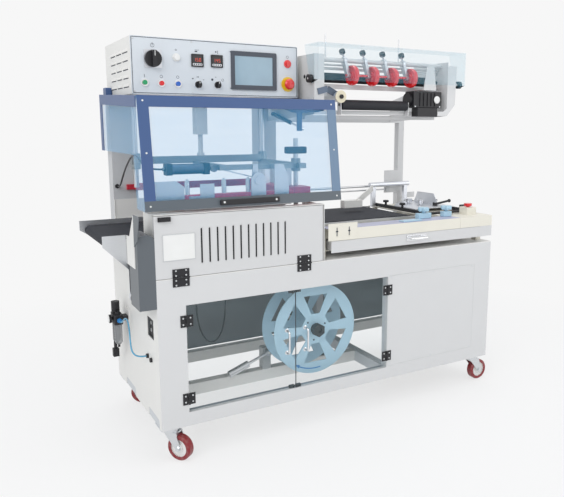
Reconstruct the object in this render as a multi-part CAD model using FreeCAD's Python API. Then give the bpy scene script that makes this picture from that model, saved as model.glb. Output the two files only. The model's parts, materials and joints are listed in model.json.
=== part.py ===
import FreeCAD, Part
import math
import os

# Automatic L-bar sealer.  Millimetres; X runs right along the infeed, Y runs
# back, Z runs up from the floor.  The datum is the base's front left corner.

V = FreeCAD.Vector

# ---------------------------------------------------------------- clearances
RUN = 0.05          # radial running fit of pins, axles and shafts
FACE = 0.1          # gap between two faces that slide on each other
SEAM = 1.0          # gap round a fitted door or cover
SHEET = 2.5         # folded sheet of the cabinet

# ---------------------------------------------------------------------- base
BASE_L = 1640.0
BASE_D = 675.0
BASE_BOTTOM = 135.0
BASE_TOP = 714.0
TUBE = 40.0
TUBE_WALL = 2.0
RAIL_H = 50.0
WINDOW_X = (107.0, 1027.0)
WINDOW_Z = (189.0, 608.0)
WINDOW_FLANGE = 18.0
SIDE_PANEL_X = (1030.0, 1539.0)
SIDE_PANEL_Z = (195.0, 611.0)
CHUTE_X = (520.0, 690.0)
CHUTE_Y = (230.0, 430.0)

# ------------------------------------------------------------------- casters
WHEEL_R = 50.0
WHEEL_W = 32.0
TREAD = 9.0
CASTER_INSET = 50.0
CASTER_OFFSET = 40.0
CASTER_PLATE = (100.0, 85.0, 4.0)
FORK_CHEEK = 4.0
AXLE_R = 6.0
TRAIL = {"fl": -53.0, "fr": 0.0, "rl": -20.0, "rr": 200.0}

# --------------------------------------------------------------- window doors
PANE = 5.0
DOOR_MEET = 566.0
HINGE_OUT = 4.0
LEAF_T = 2.5
LEAF_W = 24.0
LEAF_H = 45.0
KNUCKLE_R = 3.5
DOOR_HINGE_Z = (244.0, 548.0)
HANDLE_ROD_R = 4.0
HANDLE_STAND = 26.0
HANDLE_Z = (346.0, 448.0)
HANDLE_IN = 42.0

# -------------------------------------------------------------- upper housing
HOUSE_L = 700.0
HOUSE_D = 600.0
DECK_D = 45.0
HOUSE_TOP = BASE_TOP + 233.0
ACCESS_X = (0.0, HOUSE_L - 8.0)
ACCESS_Z = (BASE_TOP + 2.0, HOUSE_TOP - 2.0)
ACCESS_RETURN = 15.0
ACCESS_AXIS_Z = BASE_TOP + 1.0
VENT_X = (175.0, 520.0)
VENT_Z = (ACCESS_Z[0] + 41.0, ACCESS_Z[1] - 49.0)
VENTS = 12
VENT_W = 15.0
PANEL_HINGE_X = (92.0, HOUSE_L - 95.0)
PANEL_LEAF_H = 63.0
PANEL_LEAF_W = 33.0
INNER_Y = 133.0
INNER_NOTCH = (HOUSE_L - 110.0, HOUSE_L - 30.0)

# ------------------------------------------------------------------ conveyors
BELT_TOP = BASE_TOP + 131.0
BELT_T = 3.0
BELT_R = 21.0
OUT_BELT_X = (-130.0, HOUSE_L - 112.0)
OUT_BELT_Y = (160.0, 580.0)
OUT_PLATE = 4.0
IN_BELT_X = (HOUSE_L + 6.0, BASE_L - 350.0)
IN_BELT_Y = (170.0, 560.0)
INFEED_D = 592.0

# ------------------------------------------------------------- rear structure
COLUMN_Y = (600.0, 675.0)
COLUMN_TOP = BASE_TOP + 665.0
LEFT_COLUMN_X = (0.0, 105.0)
RIGHT_COLUMN_X = (HOUSE_L - 12.0, HOUSE_L + 81.0)
BOX_X = (5.0, HOUSE_L + 2.0)
BOX_Y = (234.0, 646.0)
BOX_Z = (COLUMN_TOP, COLUMN_TOP + 210.0)
BOX_SHEET = 2.0

# ----------------------------------------------------------------------- hood
PIVOT = (575.0, BOX_Z[0] + 16.0)
HOOD_X = (-28.0, HOUSE_L + 78.0)
HOOD_FOOT = (0.0, HOUSE_TOP + 16.0)
HOOD_HEAD = (55.0, BOX_Z[0] - 13.0)
HOOD_T = 6.0
HOOD_STRIP = 3.0
HOOD_BAND = 40.0
HOOD_PIN_R = 8.0
ARM_X = BOX_X[1] + 3.0
ARM_T = 4.0
STRUT_X = ARM_X + 16.0
STRUT_FRONT = (226.0, PIVOT[1] - 144.0)
STRUT_REAR = (507.0, PIVOT[1] - 78.0)
STRUT_R = 9.0
ROD_R = 4.0

# ------------------------------------------------------------------ seal head
HEAD_TRAVEL = 95.0
POST_R = 10.0
FRONT_POST = (632.0, 120.0)
REAR_POSTS = ((60.0, 442.0), (632.0, 442.0))
BEAM_Z = (BELT_TOP + 260.0, BELT_TOP + 290.0)
BEAM_Y = (428.0, 456.0)
FRONT_JAW_X = (130.0, 590.0)
FRONT_JAW_Y = (57.0, 87.0)
SIDE_JAW_X = (602.0, 662.0)
SIDE_JAW_Y = (140.0, 520.0)
JAW_Z = (BELT_TOP + 120.0, BELT_TOP + 163.0)
BLADE_DROP = 15.0
SEAL_GAP = 2.0
LIFT_X = 340.0
LIFT_R = 26.0

# ------------------------------------------------------------------- unwinder
CRADLE_X = (HOUSE_L + 36.0, HOUSE_L + 800.0)
CRADLE_Y = 150.0
COVER_X = (732.0, 1535.0)
COVER_Y = 110.0
COVER_Z = (1443.0, 1600.0)
COVER_AXIS = (165.0, 1457.0)
RUBBER_R = 21.5
RUBBER_AXIS = (232.0, 1469.0)
RUBBER_X = (800.0, 1400.0)
FILM_R = 22.0
FILM_AXIS = (180.0, 1353.0)
FILM_X = (886.0, 1240.0)
PERF_R = 43.0
PERF_X = (937.0, 1043.0, 1149.0, 1255.0)
SHAFT_R = 10.0

# ---------------------------------------------------------------------- spool
SPOOL_R = 200.0
SPOOL_X = 716.0
SPOOL_Z = 393.0
SPOOL_Y = (100.0, 220.0)
DISC_T = 4.0
SPOOL_SHAFT_R = 12.0

nodes = {}
cords = {}


def put(name, *solids):
    """File solids under a node."""
    nodes.setdefault(name, []).extend(solids)


# ------------------------------------------------------------ plain geometry
def box(x0, x1, y0, y1, z0, z1):
    """Block between two corners."""
    return Part.makeBox(x1 - x0, y1 - y0, z1 - z0, V(x0, y0, z0))


def rod(start, end, radius):
    """Round bar between two points."""
    a, b = V(*start), V(*end)
    return Part.makeCylinder(radius, (b - a).Length, a, b - a)


def pipe(start, end, outer, inner):
    """Round tube between two points."""
    return rod(start, end, outer).cut(rod(start, end, inner))


def outline(points):
    """Closed face through points."""
    corners = [V(*p) for p in points]
    return Part.Face(Part.makePolygon(corners + corners[:1]))


def plate_x(points, x0, x1):
    """Flat piece of (y, z) outline between two X planes."""
    return outline([(x0, y, z) for y, z in points]).extrude(V(x1 - x0, 0, 0))


def plate_y(points, y0, y1):
    """Flat piece of (x, z) outline between two Y planes."""
    return outline([(x, y0, z) for x, z in points]).extrude(V(0, y1 - y0, 0))


def plate_z(points, z0, z1):
    """Flat piece of (x, y) outline between two Z planes."""
    return outline([(x, y, z0) for x, y in points]).extrude(V(0, 0, z1 - z0))


def fuse(*solids):
    """One piece out of several."""
    return solids[0].multiFuse(list(solids[1:])).removeSplitter()


def cut(body, *tools):
    """Body less the tools."""
    return body.cut(Part.makeCompound(list(tools)))


def move(shape, dx=0.0, dy=0.0, dz=0.0):
    """Shifted copy."""
    out = shape.copy()
    out.translate(V(dx, dy, dz))
    return out


def turn(shape, point, axis, degrees):
    """Turned copy."""
    out = shape.copy()
    out.rotate(V(*point), V(*axis), degrees)
    return out


def soften(solid, radius, axis):
    """Round the edges that run along one axis."""
    edges = []
    for edge in solid.Edges:
        along = edge.tangentAt(edge.FirstParameter)
        if abs(abs(along.dot(V(*axis))) - 1.0) < 1e-6:
            edges.append(edge)
    return solid.makeFillet(radius, edges)


def bent(points, radius):
    """Wire of straight runs joined by arcs of one radius."""
    pts = [V(*p) for p in points]
    edges = []
    at = pts[0]
    for before, corner, after in zip(pts, pts[1:], pts[2:]):
        a = (before - corner).normalize()
        b = (after - corner).normalize()
        half = a.getAngle(b) / 2.0
        back = radius / math.tan(half)
        mid = (a + b).normalize() * (radius / math.sin(half) - radius)
        p, q = corner + a * back, corner + b * back
        edges.append(Part.LineSegment(at, p).toShape())
        edges.append(Part.Arc(p, corner + mid, q).toShape())
        at = q
    edges.append(Part.LineSegment(at, pts[-1]).toShape())
    return Part.Wire(edges)


def swept(wire, radius):
    """Round bar along a wire."""
    first = wire.Edges[0]
    start = first.valueAt(first.FirstParameter)
    along = first.tangentAt(first.FirstParameter)
    ring = Part.Wire([Part.makeCircle(radius, start, along)])
    return wire.makePipeShell([ring], True, False)


def square_tube(x0, x1, y0, y1, z0, z1, axis):
    """Open ended hollow section lying along one axis."""
    w = TUBE_WALL
    grow = {"x": (0, w, w), "y": (w, 0, w), "z": (w, w, 0)}[axis]
    inner = box(x0 + grow[0], x1 - grow[0], y0 + grow[1], y1 - grow[1],
                z0 + grow[2], z1 - grow[2])
    return box(x0, x1, y0, y1, z0, z1).cut(inner)


def hexagon(centre, radius, axis, length):
    """Hexagonal head or nut."""
    c = V(*centre)
    a = V(*axis)
    side = V(0, 0, 1) if abs(a.z) < 0.5 else V(1, 0, 0)
    other = a.cross(side)
    pts = []
    for k in range(6):
        t = math.radians(60 * k)
        pts.append(c + side * (radius * math.cos(t)) + other * (radius * math.sin(t)))
    return Part.Face(Part.makePolygon(pts + pts[:1])).extrude(a * length)


def ring_of(outer, inner, centre, axis, length):
    """Washer or collar."""
    c, a = V(*centre), V(*axis)
    body = Part.makeCylinder(outer, length, c, a)
    return body.cut(Part.makeCylinder(inner, length, c, a))


# --------------------------------------------------------------------- hinges
def hinge(width, height, start_gap):
    """Butt hinge on axis Z: fixed leaf toward -X, moving leaf toward +X.

    The leaves lie on the plane Y = 0 and the pin stands HINGE_OUT in front.
    """
    third = height / 3.0
    lift = FACE
    tab = KNUCKLE_R + 0.4
    pin_r = 1.6
    axis_y = -HINGE_OUT

    def knuckle(z0, z1):
        return pipe((0, axis_y, z0), (0, axis_y, z1), KNUCKLE_R, pin_r + RUN)

    def leaf(sign, spans):
        xs = sorted((sign * tab, sign * width))
        body = box(xs[0], xs[1], -LEAF_T, 0, 0, height)
        for z0, z1 in spans:
            ts = sorted((sign * start_gap, sign * tab))
            web = box(ts[0], ts[1], -LEAF_T, 0, z0, z1)
            web = web.cut(rod((0, axis_y, z0), (0, axis_y, z1), KNUCKLE_R - 0.4))
            body = body.fuse(web).fuse(knuckle(z0, z1))
        return body.removeSplitter()

    fixed = leaf(-1, ((third + lift, 2 * third - lift),))
    moving = leaf(1, ((0, third - lift), (2 * third + lift, height)))
    pin = rod((0, axis_y, 0), (0, axis_y, height), pin_r)
    return fixed, moving, pin


def bow_handle(x, z0, z1, face_y):
    """Round bar pull standing in front of a face."""
    points = ((x, face_y, z0), (x, face_y - HANDLE_STAND, z0),
              (x, face_y - HANDLE_STAND, z1), (x, face_y, z1))
    return swept(bent(points, 2.5 * HANDLE_ROD_R), HANDLE_ROD_R)


# ----------------------------------------------------------------------- base
def make_base():
    """Square tube frame and the caster plates under it."""
    s = SHEET
    x0, x1, y0, y1 = s, BASE_L - s, s, BASE_D - s
    z0, z1 = BASE_BOTTOM, BASE_TOP - s
    t = TUBE
    for x in (x0, x1 - t):
        for y in (y0, y1 - t):
            put("base_frame", square_tube(x, x + t, y, y + t, z0, z1, "z"))
    for y in (y0, y1 - t):
        put("base_frame", square_tube(x0 + t, x1 - t, y, y + t, z0, z0 + RAIL_H, "x"))
        put("base_frame", square_tube(x0 + t, x1 - t, y, y + t, z1 - t, z1, "x"))
    for x in (x0, x1 - t):
        put("base_frame", square_tube(x, x + t, y0 + t, y1 - t, z0, z0 + RAIL_H, "y"))
        put("base_frame", square_tube(x, x + t, y0 + t, y1 - t, z1 - t, z1, "y"))
    mid = WINDOW_X[1] + s
    side = SIDE_PANEL_X[1] - t / 2
    for x in (mid, side):
        for y in (y0, y1 - t):
            put("base_frame", square_tube(x, x + t, y, y + t, z0 + RAIL_H, z1 - t, "z"))
    for x in (CHUTE_X[0] - t, mid):
        put("base_frame", square_tube(x, x + t, y0 + t, y1 - t, z1 - t, z1, "y"))
    shelf = square_tube(mid, mid + t, y0 + t, y1 - t, z0, z0 + RAIL_H, "y")
    put("base_frame", shelf)
    pl, pw, pt = CASTER_PLATE
    for cx, cy in caster_centres().values():
        put("base_frame", box(cx - pl / 2, cx + pl / 2, cy - pw / 2, cy + pw / 2,
                              BASE_BOTTOM - pt, BASE_BOTTOM))


def caster_centres():
    """Swivel centres."""
    i = CASTER_INSET
    return {"fl": (i, i), "fr": (BASE_L - i, i),
            "rl": (i, BASE_D - i), "rr": (BASE_L - i, BASE_D - i)}


def make_caster(tag, cx, cy):
    """Swivel fork and wheel, trailing in the direction TRAIL gives."""
    top = BASE_BOTTOM - CASTER_PLATE[2] - FACE
    crown = WHEEL_R * 2 + 6.0
    inner = WHEEL_W / 2 + 2.0
    outer = inner + FORK_CHEEK
    off = CASTER_OFFSET
    bearing = rod((0, 0, crown + 6), (0, 0, top), 29.0)
    roof = box(-24, 34, -outer, outer, crown, crown + 6)
    cheeks = []
    for y in (-outer, inner):
        side = ((-24, crown + 6), (34, crown + 6), (off + 13, WHEEL_R), (off, WHEEL_R - 13),
                (off - 13, WHEEL_R))
        cheeks.append(plate_y(side, y, y + FORK_CHEEK))
    fork = fuse(bearing, roof, *cheeks)
    bore = rod((off, -outer, WHEEL_R), (off, outer, WHEEL_R), AXLE_R)
    fork = fork.cut(bore)
    axle = rod((off, -outer, WHEEL_R), (off, outer, WHEEL_R), AXLE_R)
    heads = [hexagon((off, outer, WHEEL_R), 9.5, (0, 1, 0), 5.0),
             hexagon((off, -outer, WHEEL_R), 9.5, (0, -1, 0), 5.0)]
    axle = fuse(axle, *heads)
    w = WHEEL_W / 2
    profile = ((0, -w), (WHEEL_R - 3, -w), (WHEEL_R, -w + 4), (WHEEL_R, w - 4),
               (WHEEL_R - 3, w), (0, w))
    ring = outline([(off + r, y, WHEEL_R) for r, y in profile])
    tread = ring.revolve(V(off, 0, WHEEL_R), V(0, 1, 0), 360)
    core_r = WHEEL_R - TREAD
    core = rod((off, -w, WHEEL_R), (off, w, WHEEL_R), core_r)
    tread = tread.cut(core)
    dish = [ring_of(core_r - 6, 16.0, (off, y, WHEEL_R), (0, 1, 0), 7.0)
            for y in (-w, w - 7.0)]
    hub = cut(core, rod((off, -w, WHEEL_R), (off, w, WHEEL_R), AXLE_R + RUN), *dish)
    lugs = [ring_of(14.0, AXLE_R + RUN, (off, y, WHEEL_R), (0, 1, 0), 1.7)
            for y in (-w - 1.7, w)]
    hub = fuse(hub, *lugs)
    for name, solids in (("caster_fork_" + tag, (fork, axle)),
                         ("caster_wheel_" + tag, (tread, hub))):
        for solid in solids:
            placed = turn(solid, (0, 0, 0), (0, 0, 1), TRAIL[tag])
            put(name, move(placed, cx, cy))


def make_front_panel():
    """Folded front sheet with the window and the fixed panel beside it."""
    s = SHEET
    wx, wz = WINDOW_X, WINDOW_Z
    px, pz = SIDE_PANEL_X, SIDE_PANEL_Z
    sheet = box(0, BASE_L, 0, s, BASE_BOTTOM, BASE_TOP - s)
    sheet = cut(sheet, box(wx[0], wx[1], 0, s, wz[0], wz[1]),
                box(px[0], px[1], 0, s, pz[0], pz[1]))
    lip = box(wx[0] - s, wx[1] + s, s, WINDOW_FLANGE, wz[0] - s, wz[1] + s)
    lip = lip.cut(box(wx[0], wx[1], s, WINDOW_FLANGE, wz[0], wz[1]))
    g = SEAM / 2
    put("front_panel", fuse(sheet, lip),
        box(px[0] + g, px[1] - g, 0, s, pz[0] + g, pz[1] - g))


def make_cabinet_panels():
    """End, rear and top sheets."""
    s = SHEET
    z0, z1 = BASE_BOTTOM, BASE_TOP - s
    left = box(0, s, s, BASE_D - s, z0, z1)
    arches = []
    for y0, y1 in ((30.0, 176.0), (370.0, 530.0)):
        slot = box(0, s, y0, y1, z0 - 40, z0 + 35)
        arches.append(soften(slot, 16.0, (1, 0, 0)))
    socket = box(0, s, 61, 144, 472, 550)
    glands = [rod((0, y, z), (s, y, z), 6.0) for y, z in ((148, 387), (100, 385))]
    put("cabinet_panels", cut(left, socket, *(arches + glands)))
    put("cabinet_panels", box(BASE_L - s, BASE_L, s, BASE_D - s, z0, z1))
    put("cabinet_panels", box(0, BASE_L, BASE_D - s, BASE_D, z0 + 55, z1))
    top = box(0, BASE_L, 0, BASE_D, z1, BASE_TOP)
    chute = box(CHUTE_X[0], CHUTE_X[1], CHUTE_Y[0], CHUTE_Y[1], z1, BASE_TOP)
    put("cabinet_panels", top.cut(soften(chute, 8.0, (0, 0, 1))))


def make_doors():
    """Two clear doors, their hinges, pulls and catches."""
    z0, z1 = WINDOW_Z[0] + 2 * SEAM, WINDOW_Z[1] - 2 * SEAM
    spans = ((WINDOW_X[0] + 2 * SEAM, DOOR_MEET - SEAM),
             (DOOR_MEET + SEAM, WINDOW_X[1] - 2 * SEAM))
    names = ("door_left", "door_right")
    pulls = (spans[0][1] - HANDLE_IN, spans[1][0] + HANDLE_IN)
    for name, (x0, x1), pull in zip(names, spans, pulls):
        put(name, box(x0, x1, 0, PANE, z0, z1))
        put(name, bow_handle(pull, HANDLE_Z[0] + 4, HANDLE_Z[1] - 4, 0))
    for zc in DOOR_HINGE_Z:
        parts = hinge(LEAF_W, LEAF_H, SEAM)
        lower = zc - LEAF_H / 2
        fixed, moving, pin = (move(p, WINDOW_X[0] + SEAM, 0, lower) for p in parts)
        put("fixed_fittings", fixed, pin)
        put("door_left", moving)
        mirrored = [p.mirror(V(0, 0, 0), V(1, 0, 0)) for p in parts]
        fixed, moving, pin = (move(p, WINDOW_X[1] - SEAM, 0, lower) for p in mirrored)
        put("fixed_fittings", fixed, pin)
        put("door_right", moving)
    catch = 12.0
    for z in (WINDOW_Z[0], WINDOW_Z[1] - catch):
        for x in (DOOR_MEET - 26, DOOR_MEET + 4):
            put("fixed_fittings", box(x, x + 22, PANE + 0.3, WINDOW_FLANGE, z, z + catch))


# -------------------------------------------------------------- upper housing
def make_upper_housing():
    """Folded housing behind the access panel, open to the conveyor."""
    s = SHEET
    z0, z1 = BASE_TOP, HOUSE_TOP
    open_y = (INNER_Y + s + 1.0, OUT_BELT_Y[1] + 14.0)
    throat = box(-1, HOUSE_L + 1, open_y[0], open_y[1], z0 + 56, z1 + 1)
    left = box(0, s, ACCESS_RETURN + 2 * s + 0.5, HOUSE_D, z0, z1).cut(throat)
    right = box(HOUSE_L - s, HOUSE_L, 0, HOUSE_D, z0, z1).cut(throat)
    rear = box(s, HOUSE_L - s, HOUSE_D - s, HOUSE_D, z0, z1)
    inner = box(s, HOUSE_L - s, INNER_Y, INNER_Y + s, z0, z1)
    notch = box(INNER_NOTCH[0], INNER_NOTCH[1], INNER_Y, INNER_Y + s, BELT_TOP - 20, z1)
    inner = inner.cut(notch)
    deck = box(0, HOUSE_L, 0, DECK_D, z1, z1 + s)
    lip = box(s, HOUSE_L - s, DECK_D - s, DECK_D, z1 - 30, z1)
    put("upper_housing", left, right, rear, inner, fuse(deck, lip))


def make_access_panel():
    """Vented panel that tips forward on two hinges."""
    s = SHEET
    x0, x1 = ACCESS_X
    z0, z1 = ACCESS_Z
    body = box(x0, x1, 0, s + ACCESS_RETURN, z0, z1)
    body = body.cut(box(x0 + s, x1 - s, s, s + ACCESS_RETURN, z0 + s, z1 - s))
    pitch = (VENT_X[1] - VENT_X[0]) / (VENTS - 1)
    slots = []
    for k in range(VENTS):
        xc = VENT_X[0] + k * pitch
        slot = box(xc - VENT_W / 2, xc + VENT_W / 2, 0, s, VENT_Z[0], VENT_Z[1])
        slots.append(soften(slot, VENT_W / 2 - 0.5, (0, 1, 0)))
    put("access_panel", cut(body, *slots))
    plate = box(28, 150, -1.5, 0, 780, 878)
    put("access_fittings", soften(plate, 3.0, (0, 1, 0)))
    latch = fuse(box(14, 60, -6, 0, z1 - 20, z1 - 4),
                 rod((24, -6, z1 - 12), (24, -13, z1 - 12), 7.0),
                 box(24, 56, -13, -9, z1 - 17, z1 - 7))
    put("access_fittings", latch)
    for xc in PANEL_HINGE_X:
        parts = hinge(PANEL_LEAF_W, PANEL_LEAF_H, SEAM)
        laid = [turn(p, (0, 0, 0), (0, 1, 0), -90) for p in parts]
        fixed, moving, pin = (move(p, xc + PANEL_LEAF_H / 2, 0, ACCESS_AXIS_Z) for p in laid)
        put("fixed_fittings", fixed, pin)
        put("access_fittings", moving)


def make_columns():
    """Two folded columns that carry the control box."""
    t = 3.0
    y0, y1 = COLUMN_Y
    for x0, x1 in (LEFT_COLUMN_X, RIGHT_COLUMN_X):
        shell = box(x0, x1, y0, y1, BASE_TOP, COLUMN_TOP)
        hollow = box(x0 + t, x1 - t, y0 + t, y1 - t, BASE_TOP + t, COLUMN_TOP - t)
        mouth = box(x0 + t + 8, x1 - t - 8, y1 - t, y1, BASE_TOP + 40, COLUMN_TOP - 40)
        put("rear_columns", cut(shell, hollow, mouth))


# ---------------------------------------------------------------- control box
SWITCH = (87.0, 1509.0)
LAMP = (177.0, 1518.0)
TEMPS = ((261.0, 1511.0), (341.0, 1512.0))
BUTTONS = {"button_green": (53.0, 1421.0), "button_red": (117.0, 1420.0),
           "button_blue": (181.0, 1420.0)}
SELECTORS = {"selector_left": (263.0, 1420.0), "selector_right": (343.0, 1421.0)}
SCREEN = (397.0, 601.0, 1406.0, 1556.0)
RESET = (655.0, 1517.0)
STOP = (656.0, 1434.0)
FRONT_PLATE_T = 3.0
BUTTON_HOLE = 11.0
BUTTON_STROKE = 4.0
STOP_STROKE = 5.0


def make_control_box():
    """Box with a lift-off front plate, louvres and the strut bracket."""
    s = BOX_SHEET
    x0, x1 = BOX_X
    z0, z1 = BOX_Z
    y0, y1 = BOX_Y[0] + FRONT_PLATE_T, BOX_Y[1]
    shell = box(x0, x1, y0, y1, z0, z1)
    shell = shell.cut(box(x0 + s, x1 - s, y0, y1 - s, z0 + s, z1 - s))
    rim = box(x0 + s, x1 - s, y0, y0 + 12, z0 + s, z1 - s)
    rim = rim.cut(box(x0 + 14, x1 - 14, y0, y0 + 12, z0 + 14, z1 - 14))
    pins = [rod((x, PIVOT[0], PIVOT[1]), (x + s, PIVOT[0], PIVOT[1]), HOOD_PIN_R + RUN)
            for x in (x0, x1 - s)]
    bushes = []
    for x in (x0 + s, x1 - s - 10):
        bushes.append(ring_of(15.0, HOOD_PIN_R + RUN, (x, PIVOT[0], PIVOT[1]), (1, 0, 0), 10.0))
    shell = fuse(cut(fuse(shell, rim), *pins), *bushes)
    bracket = plate_x(((STRUT_REAR[0] - 20, z0 + 40), (STRUT_REAR[0] + 20, z0 + 40),
                       (STRUT_REAR[0] + 12, STRUT_REAR[1] - 12),
                       (STRUT_REAR[0] - 12, STRUT_REAR[1] - 12)), x1, ARM_X - FACE)
    stud = rod((ARM_X - FACE, STRUT_REAR[0], STRUT_REAR[1]),
               (STRUT_X + 8, STRUT_REAR[0], STRUT_REAR[1]), 4.0)
    put("control_box", shell, fuse(bracket, stud))
    for row in range(5):
        for col in range(3):
            yc = y0 + 40 + col * 98
            zc = z0 + 34 + row * 32
            hood = ((x0, zc - 6), (x0 - 4, zc - 6), (x0, zc + 6))
            blade = outline([(x, yc, z) for x, z in hood]).extrude(V(0, 78, 0))
            put("control_box", blade)
    plate = box(x0, x1, BOX_Y[0], y0, z0, z1)
    plate = soften(plate, 5.0, (0, 1, 0))
    holes = []
    for x, z in list(BUTTONS.values()) + list(SELECTORS.values()) + [RESET, STOP]:
        holes.append(rod((x, BOX_Y[0], z), (x, y0, z), BUTTON_HOLE))
    holes.append(rod((SWITCH[0], BOX_Y[0], SWITCH[1]), (SWITCH[0], y0, SWITCH[1]), 6.0))
    put("control_box", cut(plate, *holes))


def bezel(x, z, outer):
    """Chromed ring and threaded neck with its nut, round a moving button."""
    face = BOX_Y[0]
    inner = BUTTON_HOLE - 2.0
    ring = ring_of(outer, inner, (x, face, z), (0, -1, 0), 3.0)
    neck = ring_of(BUTTON_HOLE, inner, (x, face, z), (0, 1, 0), 24.0)
    nut = ring_of(14.0, BUTTON_HOLE, (x, face + FRONT_PLATE_T, z), (0, 1, 0), 4.0)
    block = box(x - 14, x + 14, face + 24, face + 52, z - 14, z + 14)
    return fuse(ring, neck, nut, block)


def make_panel_fittings():
    """Everything fixed on the front plate."""
    face = BOX_Y[0]
    x, z = SWITCH
    plate = soften(box(x - 34, x + 34, face - 3, face, z - 34, z + 34), 4.0, (0, 1, 0))
    bore = rod((x, face - 3, z), (x, face, z), 6.0)
    body = box(x - 26, x + 26, face + FRONT_PLATE_T, face + 55, z - 26, z + 26)
    body = body.cut(rod((x, face + FRONT_PLATE_T, z), (x, face + 30, z), 6.0))
    put("panel_fittings", plate.cut(bore), body)
    x, z = LAMP
    put("panel_fittings", rod((x, face - 4, z), (x, face, z), 15.0),
        rod((x, face - 12, z), (x, face - 4, z), 11.0))
    for x, z in TEMPS:
        frame = soften(box(x - 24, x + 24, face - 6, face, z - 24, z + 24), 2.0, (0, 1, 0))
        frame = frame.cut(box(x - 20, x + 20, face - 6, face - 4, z - 20, z + 20))
        put("panel_fittings", frame)
    x0, x1, z0, z1 = SCREEN
    frame = soften(box(x0, x1, face - 8, face, z0, z1), 6.0, (0, 1, 0))
    frame = frame.cut(box(x0 + 18, x1 - 18, face - 8, face - 6, z0 + 18, z1 - 18))
    put("panel_fittings", frame)
    for x, z in list(BUTTONS.values()) + list(SELECTORS.values()):
        put("panel_fittings", bezel(x, z, 14.5))
    put("panel_fittings", bezel(RESET[0], RESET[1], 16.5), bezel(STOP[0], STOP[1], 30.0))


def make_controls():
    """Push buttons, selectors, main switch and emergency stop."""
    face = BOX_Y[0]
    inner = BUTTON_HOLE - 2.0 - RUN
    proud = 3.0 + BUTTON_STROKE + 2.0
    for name, (x, z) in list(BUTTONS.items()) + [("button_reset", RESET)]:
        cap = rod((x, face - proud, z), (x, face + 18, z), inner)
        put(name, cap)
    for name, (x, z) in SELECTORS.items():
        stem = rod((x, face - 6, z), (x, face + 18, z), inner)
        grip = soften(box(x - 5, x + 5, face - 20, face - 6, z - 13, z + 13), 3.0, (0, 1, 0))
        skirt = rod((x, face - 8, z), (x, face - 3 - FACE, z), 13.0)
        put(name, fuse(stem, grip, skirt))
    x, z = STOP
    lift = 3.0 + STOP_STROKE + 2.0
    stem = rod((x, face - lift, z), (x, face + 18, z), inner)
    rim = ((0, -lift), (17, -lift), (22, -lift - 6), (22, -lift - 10), (17, -lift - 15),
           (0, -lift - 17))
    dome = outline([(x + r, face + y, z) for r, y in rim]).revolve(V(x, 0, z), V(0, 1, 0), 360)
    put("emergency_stop", fuse(stem, dome))
    x, z = SWITCH
    dial = rod((x, face - 15, z), (x, face - 3 - FACE, z), 31.0)
    grip = soften(box(x - 8, x + 8, face - 34, face - 15, z - 29, z + 29), 5.0, (0, 1, 0))
    shaft = rod((x, face - 3 - FACE, z), (x, face + 29, z), 6.0 - RUN)
    put("main_switch", fuse(dial, grip, shaft))


# ----------------------------------------------------------------------- hood
def hood_dir():
    """Unit vectors up the front sheet and through it toward the back."""
    rise = (HOOD_HEAD[1] - HOOD_FOOT[1])
    run = (HOOD_HEAD[0] - HOOD_FOOT[0])
    length = math.hypot(rise, run)
    return (run / length, rise / length), (rise / length, -run / length), length


def slab(x0, x1, s0, s1, t0, t1):
    """Block lying on the front sheet: s runs up it, t through it."""
    up, back, _ = hood_dir()
    pts = []
    for s, t in ((s0, t0), (s1, t0), (s1, t1), (s0, t1)):
        pts.append((HOOD_FOOT[0] + up[0] * s + back[0] * t,
                    HOOD_FOOT[1] + up[1] * s + back[1] * t))
    return plate_x(pts, x0, x1)


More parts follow.
